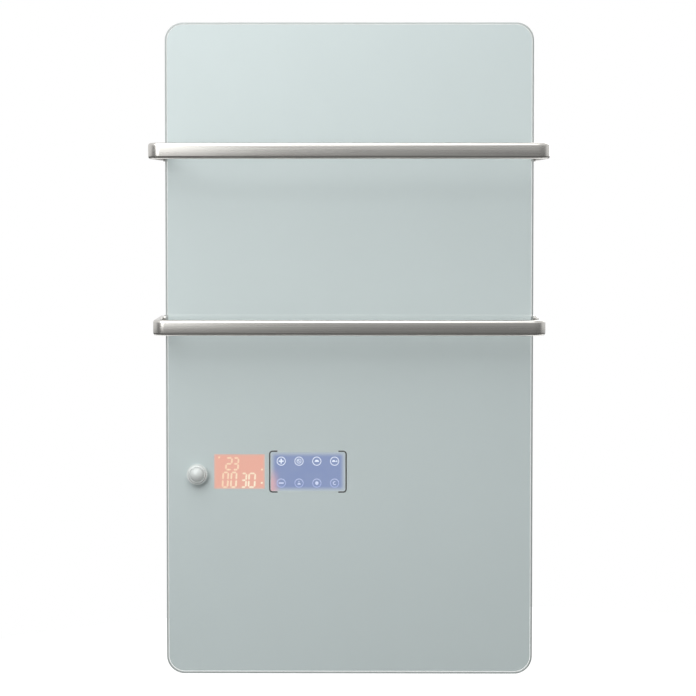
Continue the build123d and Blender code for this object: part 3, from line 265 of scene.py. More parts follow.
MINERAL = Finish("mineral_board", (0.60, 0.52, 0.34), Grain.SPECKLED, roughness=0.92, spread=0.04,
                 variation=0.28, relief=0.60)
CIRCUIT = Finish("circuit_board", (0.018, 0.11, 0.045), Grain.CLOUDY, roughness=0.35, variation=0.25,
                 relief=0.05)
HEATING_INK = Finish("heating_ink", (0.05, 0.048, 0.046), Grain.BRUSHED_X, roughness=0.55, spread=0.08,
                     variation=0.30)
BRASS = Finish("brass", (0.62, 0.45, 0.20), Grain.SPECKLED, metallic=1.0, roughness=0.30, spread=0.08,
               variation=0.15, relief=0.05)
EARTH_SLEEVE = Finish("green_yellow_sleeve", (0.25, 0.42, 0.05), Grain.CLOUDY, variation=0.35, relief=0.05)
LEAD_SLEEVE = Finish("white_sleeve", (0.60, 0.60, 0.58), Grain.CLOUDY, relief=0.05)
BRACKET_PRINT = Finish("dark_print", (0.075, 0.078, 0.080), Grain.SPECKLED, variation=0.15, relief=0.0)
ENAMEL = Finish("pale_enamel", (0.650, 0.730, 0.732), Grain.CLOUDY, roughness=0.40, spread=0.05,
                variation=0.02, relief=0.0)

NODE_FINISHES: dict[Finish, tuple[str, ...]] = {
    ZINC: ("wall_bracket", "hook_plates", "bond_frame", "clamp_bar_upper", "clamp_bar_middle",
           "clamp_bar_lower", "side_screws", "rail_screws", "control_screws", "power_screws",
           "thermal_cutouts", "sensor_element"),
    POWDER_COAT: ("rear_casing",),
    RUBBER: ("wall_bumpers",),
    SILICONE: ("bond_pad", "housing_tape"),
    ENAMEL: ("enamel_coat",),
    HEATING_INK: ("heating_film",),
    ALUMINIUM: ("heat_spreader",),
    MINERAL: ("insulation_board",),
    FOIL: ("reflector_foil",),
    STEEL: ("upper_rail", "lower_rail"),
    BLOCK_STEEL: ("rail_block_upper_left", "rail_block_upper_right",
                  "rail_block_lower_left", "rail_block_lower_right"),
    WHITE_PLASTIC: ("display_light",),
    LENS: ("sensor_collar", "sensor_lens"),
    GREY_PLASTIC: ("sensor_nut", "control_housing", "power_housing", "power_lid", "probe_clip",
                   "terminal_block"),
    CIRCUIT: ("sensor_board", "control_board", "power_board"),
    BLACK_PLASTIC: ("control_board_parts", "power_relay", "power_transformer", "power_capacitors",
                    "rail_end_plugs", "cable_gland", "gland_nut", "switch_body", "mains_rocker",
                    "room_probe"),
    BRASS: ("power_fuse", "earth_stud"),
    LEAD_SLEEVE: ("film_leads", "control_ribbon", "sensor_lead", "mains_wires"),
    EARTH_SLEEVE: ("earth_wire",),
}


@dataclass(frozen=True)
class Glow(Surface):
    """A lit field behind the glass: bright in its middle, softer towards its edges.

    Args:
        centre: The middle of the field, x and z.
        half: Half of the field's width and height.
        soft: The width of the soft edge.
        colour: The lit colour, linear.
        edge: The colour at the very edge, linear.
        strength: The strength of the light.
        spill: A second colour that shows low at the left, or None.
        spill_full: Where the spill is still full, from the left edge and the middle height.
        spill_end: Where the spill ends, from the left edge and the middle height.
    """

    centre: Point
    half: Point
    soft: float
    colour: Colour
    edge: Colour
    strength: float
    spill: Colour | None = None
    spill_full: Point = (0.001, -0.016)
    spill_end: Point = (0.014, 0.008)

    def dress(self, nodes: Nodes, shader: Node) -> None:
        """Lights the field, a little patchy, over a nearly black base.

        Args:
            nodes: The material's nodes.
            shader: The shader.
        """
        place = nodes.place()
        axes = nodes.axes(place)
        field = nodes.maths("MULTIPLY", self.band(nodes, axes["X"], 0), self.band(nodes, axes["Z"], 1))
        cloud = nodes.add("ShaderNodeTexNoise", {"Vector": place, "Scale": 70.0})
        share = nodes.maths("MULTIPLY", field, nodes.remap(cloud, 0.0, 1.0, 0.82))
        shown = nodes.mix(share, (*self.edge, 1.0), (*self.colour, 1.0))
        if self.spill is not None:
            left = self.centre[0] - self.half[0]
            beside = self.fall(nodes, axes["X"], left + self.spill_full[0], left + self.spill_end[0])
            below = self.fall(nodes, axes["Z"], self.centre[1] + self.spill_full[1],
                              self.centre[1] + self.spill_end[1])
            shown = nodes.mix(nodes.maths("MULTIPLY", beside, below), shown, (*self.spill, 1.0))
        nodes.feed(shader, {
            "Base Color": nodes.mix(0.85, shown, BLACK),
            "Roughness": 0.5,
            "Specular IOR Level": 0.0,
            "Emission Color": shown,
            "Emission Strength": self.strength,
        })

    def band(self, nodes: Nodes, value: NodeSocket, axis: int) -> NodeSocket:
        """Is 1 inside the field along one axis and falls softly to 0 at its edges.

        Args:
            nodes: The material's nodes.
            value: The place along the axis.
            axis: 0 for the width, 1 for the height.

        Returns:
            The band's share.
        """
        distance = nodes.maths("ABSOLUTE", nodes.maths("SUBTRACT", value, self.centre[axis]))
        return self.fall(nodes, distance, self.half[axis] - self.soft, self.half[axis])

    @staticmethod
    def fall(nodes: Nodes, value: NodeSocket, start: float, end: float) -> NodeSocket:
        """Goes softly from 1 at start to 0 at end."""
        return nodes.remap(value, start, end, 1.0, 0.0, interpolation_type="SMOOTHSTEP")


@dataclass(frozen=True)
class FloorPaint(Surface):
    """Matt pale paint, lifted for the camera, for mirrored rays and for rays through the glass.

    Args:
        lift: How much light is added for those rays.
    """

    lift: float

    def dress(self, nodes: Nodes, shader: Node) -> None:
        """Sets the paint and adds the light.

        Args:
            nodes: The material's nodes.
            shader: The shader.
        """
        ray = nodes.node("ShaderNodeLightPath").outputs
        bounced = nodes.maths("MAXIMUM", ray["Is Glossy Ray"], ray["Is Transmission Ray"])
        shown = nodes.maths("MAXIMUM", bounced, ray["Is Camera Ray"])
        nodes.feed(shader, {
            "Base Color": (0.86, 0.86, 0.86, 1.0),
            "Roughness": 0.9,
            "Specular IOR Level": 0.0,
            "Emission Color": WHITE,
            "Emission Strength": nodes.maths("MULTIPLY", shown, self.lift),
        })


def add_object(name: str, data: ID) -> Object:
    """Adds an object at the origin of the scene.

    Args:
        name: The object's name.
        data: Its mesh, lamp or camera.

    Returns:
        The new object.
    """
    made = bpy.data.objects.new(name, data)
    bpy.context.scene.collection.objects.link(made)
    return made


def plain_mesh(name: str, source: Object) -> Object:
    """Turns an evaluated object into a plain mesh object at the origin.

    Args:
        name: The new piece's name.
        source: The object to evaluate and then delete.

    Returns:
        The new piece.
    """
    depsgraph = bpy.context.evaluated_depsgraph_get()
    mesh = bpy.data.meshes.new_from_object(source.evaluated_get(depsgraph), depsgraph=depsgraph)
    mesh.name = name
    old = source.data
    bpy.data.objects.remove(source)
    bpy.data.meshes.remove(old)
    return add_object(name, mesh)


def from_bmesh(name: str, shape: BMesh, material: Material, smooth: bool = False) -> Object:
    """Makes a piece from a bmesh with its normals facing outwards.

    Args:
        name: The piece's name.
        shape: The bmesh, freed here.
        material: The piece's material.
        smooth: Whether the faces shade smoothly.

    Returns:
        The new piece.
    """
    bmesh.ops.remove_doubles(shape, verts=shape.verts, dist=1e-7)
    bmesh.ops.recalc_face_normals(shape, faces=shape.faces)
    mesh = bpy.data.meshes.new(name)
    shape.to_mesh(mesh)
    shape.free()
    mesh.materials.append(material)
    for polygon in mesh.polygons:
        polygon.use_smooth = smooth
    return add_object(name, mesh)


def arc(centre: Point, radius: float, start: float, end: float, steps: int) -> list[Point]:
    """Returns points along an arc, with both of its ends.

    Args:
        centre: The arc's centre.
        radius: Its radius.
        start: The angle of its start.
        end: The angle of its end.
        steps: The number of steps between the ends.

    Returns:
        The points.
    """
    turns = [start + (end - start) * step / steps for step in range(steps + 1)]
    return [(centre[0] + radius * math.cos(turn), centre[1] + radius * math.sin(turn)) for turn in turns]


def circle(centre: Point, radius: float, segments: int) -> list[Point]:
    """Returns the points of a whole circle, each once."""
    return arc(centre, radius, 0.0, FULL_TURN, segments)[:-1]


def add_ring(shape: BMesh, outline: list[Point], depth: float) -> list[BMVert]:
    """Adds the corners of a front-view outline at one depth."""
    return [shape.verts.new((x, depth, z)) for x, z in outline]


def bridge(shape: BMesh, first: list[BMVert], second: list[BMVert]) -> None:
    """Adds the faces between two closed rings, or between a ring and a pole.

    Args:
        shape: The bmesh that grows.
        first: One ring, or its pole alone.
        second: The other ring, or its pole alone.
    """
    count = max(len(first), len(second))
    for index in range(count):
        following = (index + 1) % count
        corners = [first[index % len(first)], first[following % len(first)],
                   second[following % len(second)], second[index % len(second)]]
        shape.faces.new(list(dict.fromkeys(corners)))


def add_plate(shape: BMesh, outline: list[Point]) -> None:
    """Adds a thin lit plate with a front-view outline.

    Args:
        shape: The bmesh that grows.
        outline: The corners, x and z.
    """
    rear = add_ring(shape, outline, SIGN_BACK)
    fore = add_ring(shape, outline, SIGN_FRONT)
    shape.faces.new(rear)
    shape.faces.new(fore[::-1])
    bridge(shape, rear, fore)


class Tree(Nodes):
    """A geometry node tree under construction, with named inputs."""

    KINDS = {float: "NodeSocketFloat", int: "NodeSocketInt", tuple: "NodeSocketVector"}

    def __init__(self, name: str, sizes: dict[str, float | int | Spot]) -> None:
        """Starts a tree with a geometry output and an input for each size.

        Args:
            name: The tree's name.
            sizes: The inputs' names and values.
        """
        super().__init__(bpy.data.node_groups.new(name, "GeometryNodeTree"))
        self.tree.interface.new_socket("Geometry", in_out="OUTPUT", socket_type="NodeSocketGeometry")
        self.entry = self.tree.nodes.new("NodeGroupInput")
        self.exit = self.tree.nodes.new("NodeGroupOutput")
        self.sizes = sizes
        self.identifiers: dict[str, str] = {}
        for size, value in sizes.items():
            socket = self.tree.interface.new_socket(size, in_out="INPUT", socket_type=self.KINDS[type(value)])
            self.identifiers[size] = socket.identifier

    def join(self, *parts: NodeSocket) -> NodeSocket:
        """Joins pieces of geometry.

        Args:
            *parts: The pieces.

        Returns:
            All of them as one.
        """
        joined = self.node("GeometryNodeJoinGeometry")
        for part in reversed(parts):
            self.tree.links.new(part, joined.inputs[0])
        return joined.outputs[0]

    def rounded(self, curve: NodeSocket, radius: str, steps: int) -> NodeSocket:
        """Rounds a curve's corners by a named radius."""
        inputs = {"Curve": curve, "Radius": radius, "Count": steps}
        return self.add("GeometryNodeFilletCurve", inputs, mode="POLY")

    def bent_path(self, corners: list[NodeSocket], radius: str, steps: int) -> NodeSocket:
        """Joins corners by straight runs and rounds the bends between them.

        Args:
            corners: The path's ends and corners in order.
            radius: The name of the bends' radius.
            steps: The number of points on each bend.

        Returns:
            The path as one curve.
        """
        runs = [self.add("GeometryNodeCurvePrimitiveLine", {"Start": start, "End": end})
                for start, end in zip(corners, corners[1:])]
        wires = self.add("GeometryNodeCurveToMesh", {"Curve": self.join(*runs)})
        merged = self.add("GeometryNodeMergeByDistance", {"Geometry": wires, "Distance": 0.0001})
        return self.rounded(self.add("GeometryNodeMeshToCurve", {"Mesh": merged}), radius, steps)

    def oblong(self, width: str, height: str) -> NodeSocket:
        """Makes an oblong section from two named sizes."""
        return self.add("GeometryNodeCurvePrimitiveQuadrilateral", {"Width": width, "Height": height})

    def sweep(self, path: NodeSocket, section: NodeSocket) -> NodeSocket:
        """Sweeps a section along a path and closes its ends."""
        inputs = {"Curve": path, "Profile Curve": section, "Fill Caps": True}
        return self.add("GeometryNodeCurveToMesh", inputs)

    def cylinder(self, segments: str, radius: str, height: str) -> NodeSocket:
        """Makes an upright cylinder from three named inputs."""
        inputs = {"Vertices": segments, "Radius": radius, "Depth": height}
        return self.add("GeometryNodeMeshCylinder", inputs)

    def shift(self, shape: NodeSocket, way: object, turn: Spot = (0.0, 0.0, 0.0)) -> NodeSocket:
        """Turns a shape and moves it."""
        return self.add("GeometryNodeTransform", {"Geometry": shape, "Translation": way, "Rotation": turn})

    def repeat(self, shape: NodeSocket, points: NodeSocket, turn: object = (0.0, 0.0, 0.0)) -> NodeSocket:
        """Puts a turned copy of a shape on each point."""
        inputs = {"Points": points, "Instance": shape, "Rotation": turn}
        return self.add("GeometryNodeRealizeInstances", {0: self.add("GeometryNodeInstanceOnPoints", inputs)})

    def build(self, name: str, geometry: NodeSocket, material: Material) -> Object:
        """Ends the tree, runs it on an empty mesh and keeps the plain result.

        Args:
            name: The piece's name.
            geometry: The finished geometry.
            material: The piece's material.

        Returns:
            The new piece.
        """
        real = self.add("GeometryNodeRealizeInstances", {"Geometry": geometry})
        dressed = self.add("GeometryNodeSetMaterial", {"Geometry": real, "Material": material})
        self.feed(self.exit, {"Geometry": dressed})
        seed = add_object(name + "_seed", bpy.data.meshes.new(name + "_seed"))
        modifier = seed.modifiers.new("build", "NODES")
        modifier.node_group = self.tree
        for size, value in self.sizes.items():
            modifier[self.identifiers[size]] = value
        bpy.context.view_layer.update()
        return plain_mesh(name, seed)


def settle(piece: Object, *nodes: str, slot: str) -> None:
    """Lets a piece ride on the heater and reports it.

    Args:
        piece: The finished piece.
        *nodes: CAD nodes that it stands for.
        slot: Not used.
    """
    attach(piece, HEATER)
    if nodes:
        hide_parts(*nodes)
    log.info("%s: %d faces", piece.name, len(piece.data.polygons))


def paint(piece: Object, material: Material) -> None:
    """Gives a piece or a CAD node one material in place of what it had."""
    piece.data.materials.clear()
    piece.data.materials.append(material)


@dataclass
class FrontGlass:
    """The toughened glass with its rounded ground edge and the sensor's hole."""

    width: float = 0.450
    height: float = 0.800
    corner: float = 0.022
    corner_steps: int = 24
    edge_radius: float = 0.002
    edge_steps: int = 6
    back: float = -0.0482
    face: float = -0.054
    hole: Point = (-0.187, -0.153)
    hole_radius: float = 0.010
    hole_segments: int = 64
    clear_radius: float = 0.011
    flat_normal: float = 0.999

    def outline(self, inset: float) -> list[Point]:
        """Returns the glass outline, moved inwards.

        Args:
            inset: How far inside the real outline it runs.

        Returns:
            The outline's points.
        """
        points = []
        for quarter, (right, up) in enumerate(((1, 1), (-1, 1), (-1, -1), (1, -1))):
            centre = (right * (self.width / 2 - self.corner), up * (self.height / 2 - self.corner))
            start = quarter * QUARTER_TURN
            points += arc(centre, self.corner - inset, start, start + QUARTER_TURN, self.corner_steps)
        return points

    def profile(self) -> list[Point]:
        """Returns the edge's section from back to front.

        Returns:
            The inset and the depth of each ring.
        """
        centre = (self.edge_radius, self.back - self.edge_radius)
        rear = arc(centre, self.edge_radius, QUARTER_TURN, math.pi, self.edge_steps)
        return rear + [(inset, self.face + self.back - depth) for inset, depth in reversed(rear)]

    def build(self) -> None:
        """Builds the glass as one closed shell."""
        shape = bmesh.new()
        rings = [add_ring(shape, self.outline(inset), depth) for inset, depth in self.profile()]
        for first, second in zip(rings, rings[1:]):
            bridge(shape, first, second)
        rim = circle(self.hole, self.hole_radius, self.hole_segments)
        rear_rim, front_rim = (add_ring(shape, rim, depth) for depth in (self.back, self.face))
        bridge(shape, front_rim, rear_rim)
        for outer, inner in ((rings[0], rear_rim), (rings[-1], front_rim)):
            ends = [pair for loop in (outer, inner) for pair in zip(loop, loop[1:] + loop[:1])]
            bmesh.ops.triangle_fill(shape, edges=[shape.edges.get(pair) for pair in ends], use_beauty=True)
        piece = from_bmesh("glass_pane", shape, CLEAR_GLASS.material(), smooth=True)
        self.sharpen(piece.data)
        self.grind_edge(piece.data)
        # The lamps light the enamel straight through the clear pane.
        piece.visible_shadow = False
        piece.visible_diffuse = False
        settle(piece, "glass_front", slot="glass_front")

    def grind_edge(self, mesh: Mesh) -> None:
        """Gives the outer edge its satin finish, and leaves the hole's wall clear.

        Args:
            mesh: The glass.
        """
        mesh.materials.append(GROUND_EDGE.material())
        for polygon in mesh.polygons:
            away = math.dist((polygon.center.x, polygon.center.z), self.hole)
            if abs(polygon.normal.y) < self.flat_normal and away > self.clear_radius:
                polygon.material_index = 1

    def sharpen(self, mesh: Mesh) -> None:
        """Keeps the flat faces and their rims crisp.

        Args:
            mesh: The glass.
        """
        owners: dict[tuple[int, int], list[bool]] = {}
        for polygon in mesh.polygons:
            flat = abs(polygon.normal.y) > self.flat_normal
            polygon.use_smooth = not flat
            for key in polygon.edge_keys:
                owners.setdefault(key, []).append(flat)
        for edge in mesh.edges:
            if sum(owners[edge.key]) == 1:
                edge.use_edge_sharp = True


@dataclass
class TowelRail:
    """A flat tube bent back at both ends, swept along its path by geometry nodes.

    Args:
        name: The piece's name.
        node: The CAD node that it stands for.
        height: The z of its middle.
        standoff: How far its outer face stands in front of the glass.
    """

    name: str
    node: str
    height: float
    standoff: float
    arm_centre: float = 0.232
    foot: float = -0.026
    glass_face: float = -0.054
    tube_height: float = 0.019
    tube_thickness: float = 0.008
    tube_corner: float = 0.0035
    corner_steps: int = 6
    outer_bend: float = 0.015
    bend_steps: int = 20

    def build(self) -> None:
        """Sweeps the tube's section along the bent path."""
        tree = Tree(self.name + "_sweep", {
            "Arm": self.arm_centre,
            "Foot": self.foot,
            "Front": self.glass_face - self.standoff + self.tube_thickness / 2,
            "Level": self.height,
            "Bend": self.outer_bend - self.tube_thickness / 2,
            "Thickness": self.tube_thickness,
            "Height": self.tube_height,
            "Corner": self.tube_corner,
        })
        left = tree.maths("MULTIPLY", "Arm", -1.0)
        turns = ((left, "Foot"), (left, "Front"), ("Arm", "Front"), ("Arm", "Foot"))
        path = tree.bent_path([tree.vector(x, y, "Level") for x, y in turns], "Bend", self.bend_steps)
        section = tree.rounded(tree.oblong("Thickness", "Height"), "Corner", self.corner_steps)
        smooth = tree.add("GeometryNodeSetShadeSmooth", {"Geometry": tree.sweep(path, section)})
        settle(tree.build(self.name, smooth, STEEL.material()), self.node, slot=self.node)


class Segment(Enum):
    """The seven bars of a number, each as two corners on a grid one wide and two high."""

    TOP = ((0, 2), (1, 2))
    TOP_RIGHT = ((1, 2), (1, 1))
    LOW_RIGHT = ((1, 1), (1, 0))
    BOTTOM = ((0, 0), (1, 0))
    LOW_LEFT = ((0, 1), (0, 0))
    TOP_LEFT = ((0, 2), (0, 1))
    MIDDLE = ((0, 1), (1, 1))


NUMBER_BARS: dict[str, tuple[Segment, ...]] = {
    "0": (Segment.TOP, Segment.TOP_RIGHT, Segment.LOW_RIGHT, Segment.BOTTOM, Segment.LOW_LEFT,
          Segment.TOP_LEFT),
    "2": (Segment.TOP, Segment.TOP_RIGHT, Segment.MIDDLE, Segment.LOW_LEFT, Segment.BOTTOM),
    "3": (Segment.TOP, Segment.TOP_RIGHT, Segment.MIDDLE, Segment.LOW_RIGHT, Segment.BOTTOM),
}


@dataclass(frozen=True)
class Number:
    """One number on the display.

    Args:
        shown: The figure.
        left: The x of its left bars at its foot.
        foot: The z of its bottom bar.
        width: Its width between bar centres.
        height: Its height between bar centres.
    """

    shown: str
    left: float
    foot: float
    width: float
    height: float

    def corner(self, column: int, row: int) -> Vector:
        """Returns the place of a corner of the number's grid."""
        return Vector((self.left + column * self.width, self.foot + row * self.height / 2))


@dataclass
class Display:
    """The lit display: its glow and the bright numbers in front of it."""

    glow: Glow = Glow("display_glow", centre=(-0.13525, -0.150), half=(0.03265, 0.0229), soft=0.0045,
                      colour=(0.93, 0.47, 0.37), edge=(0.74, 0.58, 0.53), strength=0.86)
    number_glow: Glow = Glow("number_glow", centre=(-0.1120, -0.1650), half=(0.046, 0.030), soft=0.036,
                             colour=(1.0, 0.90, 0.72), edge=(0.95, 0.68, 0.50), strength=0.95)
    slant: float = 0.06
    bar: float = 0.0022
    gap_share: float = 0.18
    numbers: tuple[Number, ...] = (
        Number("2", -0.1520, -0.1477, 0.0068, 0.0145),
        Number("3", -0.1430, -0.1477, 0.0058, 0.0145),
        Number("0", -0.1562, -0.1693, 0.0062, 0.0182),
        Number("0", -0.1460, -0.1693, 0.0062, 0.0182),
        Number("3", -0.1332, -0.1693, 0.0056, 0.0170),
        Number("0", -0.1242, -0.1693, 0.0074, 0.0170),
    )
    marks: tuple[Point, ...] = ((-0.1602, -0.1326), (-0.1075, -0.1475), (-0.1078, -0.1640))
    mark_half: float = 0.0011

    def build(self) -> None:
        """Dresses the display's cell and adds the numbers and marks."""
        paint(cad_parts["display_cell"], self.glow.material())
        shape = bmesh.new()
        for number in self.numbers:
            for segment in NUMBER_BARS[number.shown]:
                add_plate(shape, self.bar_outline(number, segment))
        for x, z in self.marks:
            corners = ((-1, -1), (1, -1), (1, 1), (-1, 1))
            add_plate(shape, [(x + right * self.mark_half, z + up * self.mark_half) for right, up in corners])
        piece = from_bmesh("display_numbers", shape, self.number_glow.material())
        settle(piece, slot="display_cell")

    def bar_outline(self, number: Number, segment: Segment) -> list[Point]:
        """Returns the six corners of one bar, slanted as the display shows it.

        Args:
            number: The number that the bar belongs to.
            segment: The bar.

        Returns:
            The bar's outline.
        """
        start, end = (number.corner(column, row) for column, row in segment.value)
        along = (end - start).normalized()
        across = Vector((-along.y, along.x)) * self.bar / 2
        gap = along * self.bar * self.gap_share
        start, end = start + gap, end - gap
        tip = along * self.bar / 2
        corners = [start, start + tip + across, end - tip + across,
                   end, end - tip - across, start + tip - across]
        return [(point.x + (point.y - number.foot) * self.slant, point.y) for point in corners]


@dataclass(frozen=True)
class Stroke:
    """A straight stroke of a sign, with its places from the middle of the key.

    Args:
        start: One end.
        end: The other end.
        half: Half of the stroke's width.
    """

    start: Point
    end: Point
    half: float

    def outlines(self) -> list[list[Point]]:
        """Returns the stroke's one outline.

        Returns:
            A list with the four corners.
        """
        first, last = Vector(self.start), Vector(self.end)
        along = (last - first).normalized()
        across = Vector((-along.y, along.x)) * self.half
        return [[tuple(corner) for corner in (first - across, last - across, last + across, first + across)]]


@dataclass(frozen=True)
class Round:
    """A dot, a ring or a part of one, with its centre from the middle of the key.

    Args:
        outer: The outer radius.
        inner: The inner radius, 0 where it is filled.
        centre: Its centre.
        start: Where it starts, in half turns.
        end: Where it ends, in half turns.
        steps: How many steps it has.
    """

    outer: float
    inner: float = 0.0
    centre: Point = (0.0, 0.0)
    start: float = 0.0
    end: float = 2.0
    steps: int = 24

    def outlines(self) -> list[list[Point]]:
        """Returns one outline where it is filled, or else one for each step.

        Returns:
            The outlines.
        """
        rim, core = (arc(self.centre, radius, self.start * math.pi, self.end * math.pi, self.steps)
                     for radius in (self.outer, self.inner))
        if self.inner == 0:
            closed = self.end - self.start == 2.0
            return [rim[:-1] if closed else rim]
        return [[rim[step], rim[step + 1], core[step + 1], core[step]] for step in range(self.steps)]


# Each key's column from the left and row from the foot, with its sign.
SIGNS: dict[tuple[int, int], tuple[Stroke | Round, ...]] = {
    (0, 0): (Stroke((-0.0030, 0.0), (0.0030, 0.0), 0.0008),),
    (0, 1): (Stroke((-0.0030, 0.0), (0.0030, 0.0), 0.0008), Stroke((0.0, -0.0030), (0.0, -0.0008), 0.0008),
             Stroke((0.0, 0.0008), (0.0, 0.0030), 0.0008)),
    (1, 1): (Round(0.0029, inner=0.0021), Stroke((-0.0016, 0.0016), (0.0010, -0.0010), 0.00042)),
    (2, 1): (Round(0.0026, centre=(0.0, -0.0008), end=1.0, steps=16),),
    (3, 1): (Round(0.0022, centre=(-0.0010, -0.0008), end=1.0, steps=16),
             Round(0.0009, centre=(0.0026, 0.0))),
    (1, 0): (Round(0.0020, centre=(0.0, -0.0018), end=1.0, steps=16),
             Stroke((0.0, 0.0010), (0.0, 0.0026), 0.0004)),
    (2, 0): (Round(0.0021),),
    (3, 0): (Round(0.0022, inner=0.0013, start=0.35, end=1.75),),
}


@dataclass
class TouchKeys:
    """The lit key field: glow, rings, signs and the two printed brackets."""

    centre: Point = (-0.051, -0.150)
    glow_half: Point = (0.0465, 0.0250)
    glow_soft: float = 0.0075
    row_light_half: Point = (1.0, 0.034)
    row_light_soft: float = 0.030
    columns: int = 4
    rows: int = 2
    pitch_x: float = 0.0219
    pitch_z: float = 0.0271
    sign_middle: float = -0.1507
    ring_radius: float = 0.0051
    ring_width: float = 0.0009
    ring_segments: int = 40
    bracket_half: Point = (0.0470, 0.0252)
    bracket_tick: float = 0.0095
    bracket_corner: float = 0.0036
    bracket_corner_steps: int = 8
    bracket_width: float = 0.0016
    print_face: float = -0.04808
    print_thickness: float = 0.0001

    def build(self) -> None:
        """Dresses the key field and adds the rings, signs and brackets."""
        glow = Glow("key_glow", self.centre, self.glow_half, self.glow_soft, colour=(0.27, 0.34, 0.60),
                    edge=(0.56, 0.63, 0.68), strength=0.80, spill=(0.80, 0.50, 0.55))
        for node in ("key_light_guide", "key_contacts"):
            paint(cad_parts[node], glow.material())
        self.rings()
        self.signs()
        for side, name in ((-1, "field_bracket_left"), (1, "field_bracket_right")):
            self.bracket(side, name)

    def key(self, column: int, row: int) -> Point:
        """Returns the centre of a key, columns from the left and row 0 at the bottom."""
        return (self.centre[0] + (column - (self.columns - 1) / 2) * self.pitch_x,
                self.sign_middle + (row - (self.rows - 1) / 2) * self.pitch_z)

    def light(self, name: str, lower: Colour) -> Material:
        """Returns a pale light that is dimmer in the lower row.

        Args:
            name: The light's name.
            lower: Its colour in the lower row, linear.

        Returns:
            The light's material.
        """
        top_row = self.key(0, self.rows - 1)[1]
        glow = Glow(name, (self.centre[0], top_row), self.row_light_half, self.row_light_soft,
                    colour=(0.84, 0.89, 1.0), edge=lower, strength=1.0)
        return glow.material()

    def rings(self) -> None:
        """Repeats one flat ring over the eight keys with geometry nodes."""
        tree = Tree("key_ring_grid", {
            "Span X": (self.columns - 1) * self.pitch_x,
            "Span Z": (self.rows - 1) * self.pitch_z,
            "Columns": self.columns,
            "Rows": self.rows,
            "Segments": self.ring_segments,
            "Radius": self.ring_radius,
            "Width": self.ring_width,
            "Thickness": SIGN_BACK - SIGN_FRONT,
            "Centre": (self.centre[0], (SIGN_BACK + SIGN_FRONT) / 2, self.sign_middle),
        })
        grid = tree.add("GeometryNodeMeshGrid", {"Size X": "Span X", "Size Y": "Span Z",
                                                 "Vertices X": "Columns", "Vertices Y": "Rows"})
        path = tree.add("GeometryNodeCurvePrimitiveCircle", {"Resolution": "Segments", "Radius": "Radius"})
        ring = tree.sweep(path, tree.oblong("Width", "Thickness"))
        upright = tree.shift(tree.repeat(ring, grid), "Centre", (QUARTER_TURN, 0.0, 0.0))
        piece = tree.build("key_rings", upright, self.light("ring_glow", (0.40, 0.47, 0.76)))
        settle(piece, slot="key_light_guide")

    def signs(self) -> None:
        """Adds a plain sign inside each ring."""
        shape = bmesh.new()
        for (column, row), strokes in SIGNS.items():
            x, z = self.key(column, row)
            for stroke in strokes:
                for outline in stroke.outlines():
                    add_plate(shape, [(x + across, z + up) for across, up in outline])
        piece = from_bmesh("key_signs", shape, self.light("sign_glow", (0.62, 0.68, 0.90)))
        settle(piece, slot="key_light_guide")

    def bracket(self, side: int, name: str) -> None:
        """Sweeps one printed bracket along its path with geometry nodes.

        Args:
            side: -1 for the left one, 1 for the right one.
            name: The bracket's name.
        """
        half_width, half_height = self.bracket_half
        tree = Tree(name + "_sweep", {
            "Edge": self.centre[0] + side * half_width,
            "Tick": self.centre[0] + side * (half_width - self.bracket_tick),
            "Top": self.centre[1] + half_height,
            "Bottom": self.centre[1] - half_height,
            "Corner": self.bracket_corner,
            "Width": self.bracket_width,
            "Thickness": self.print_thickness,
            "Depth": self.print_face,
        })
        turns = (("Tick", "Top"), ("Edge", "Top"), ("Edge", "Bottom"), ("Tick", "Bottom"))
        corners = [tree.vector(x, "Depth", z) for x, z in turns]
        path = tree.bent_path(corners, "Corner", self.bracket_corner_steps)
        # The section's first side stands along the depth.
        line = tree.sweep(path, tree.oblong("Thickness", "Width"))
        settle(tree.build(name, line, BRACKET_PRINT.material()), slot="enamel_coat")


@dataclass
class SensorDome:
    """The sensor's cover: a raised dome inside a rounded shoulder ring, hollow behind."""

    centre: Point = (-0.187, -0.153)
    base: float = -0.0556
    dome_radius: float = 0.0086
    dome_foot: float = 0.0027
    top: float = 0.0075
    shoulder: tuple[Point, ...] = ((0.0088, 0.0023), (0.0091, 0.0023), (0.0094, 0.0029), (0.0099, 0.0027),
                                   (0.0105, 0.0019), (0.0110, 0.0009), (0.0113, 0.0))
    wall: float = 0.0012
    steps: int = 12
    segments: int = 72
    crisp_angle: float = 50.0

    def profile(self) -> list[Point]:
        """Returns the section from the dome's top round to the hollow's top.

        Returns:
            The radius and the height of each ring.
        """
        outer = self.cap(self.dome_radius, self.top, self.dome_foot)
        hollow = self.cap(self.shoulder[-1][0] - self.wall, self.top - self.wall, 0.0)
        return outer + list(self.shoulder) + hollow[::-1]

    def cap(self, radius: float, top: float, foot: float) -> list[Point]:
        """Returns a ball cap's section from its top to its foot.

        Args:
            radius: The cap's radius at its foot.
            top: The height of its top.
            foot: The height of its foot.

        Returns:
            The section's points.
        """
        rise = top - foot
        ball = (radius**2 + rise**2) / (2 * rise)
        reach = math.asin(radius / ball)
        turns = [reach * step / self.steps for step in range(self.steps + 1)]
        return [(ball * math.sin(turn), top - ball * (1 - math.cos(turn))) for turn in turns]

    def build(self) -> None:
        """Turns the section round the dome's axis."""
        shape = bmesh.new()
        rings = []
        for radius, height in self.profile():
            outline = circle(self.centre, radius, self.segments) if radius > 0 else [self.centre]
            rings.append(add_ring(shape, outline, self.base - height))
        for first, second in zip(rings, rings[1:]):
            bridge(shape, first, second)
        piece = from_bmesh("sensor_dome", shape, LENS.material(), smooth=True)
        piece.data.set_sharp_from_angle(angle=math.radians(self.crisp_angle))
        settle(piece, "sensor_lens", slot="sensor_lens")


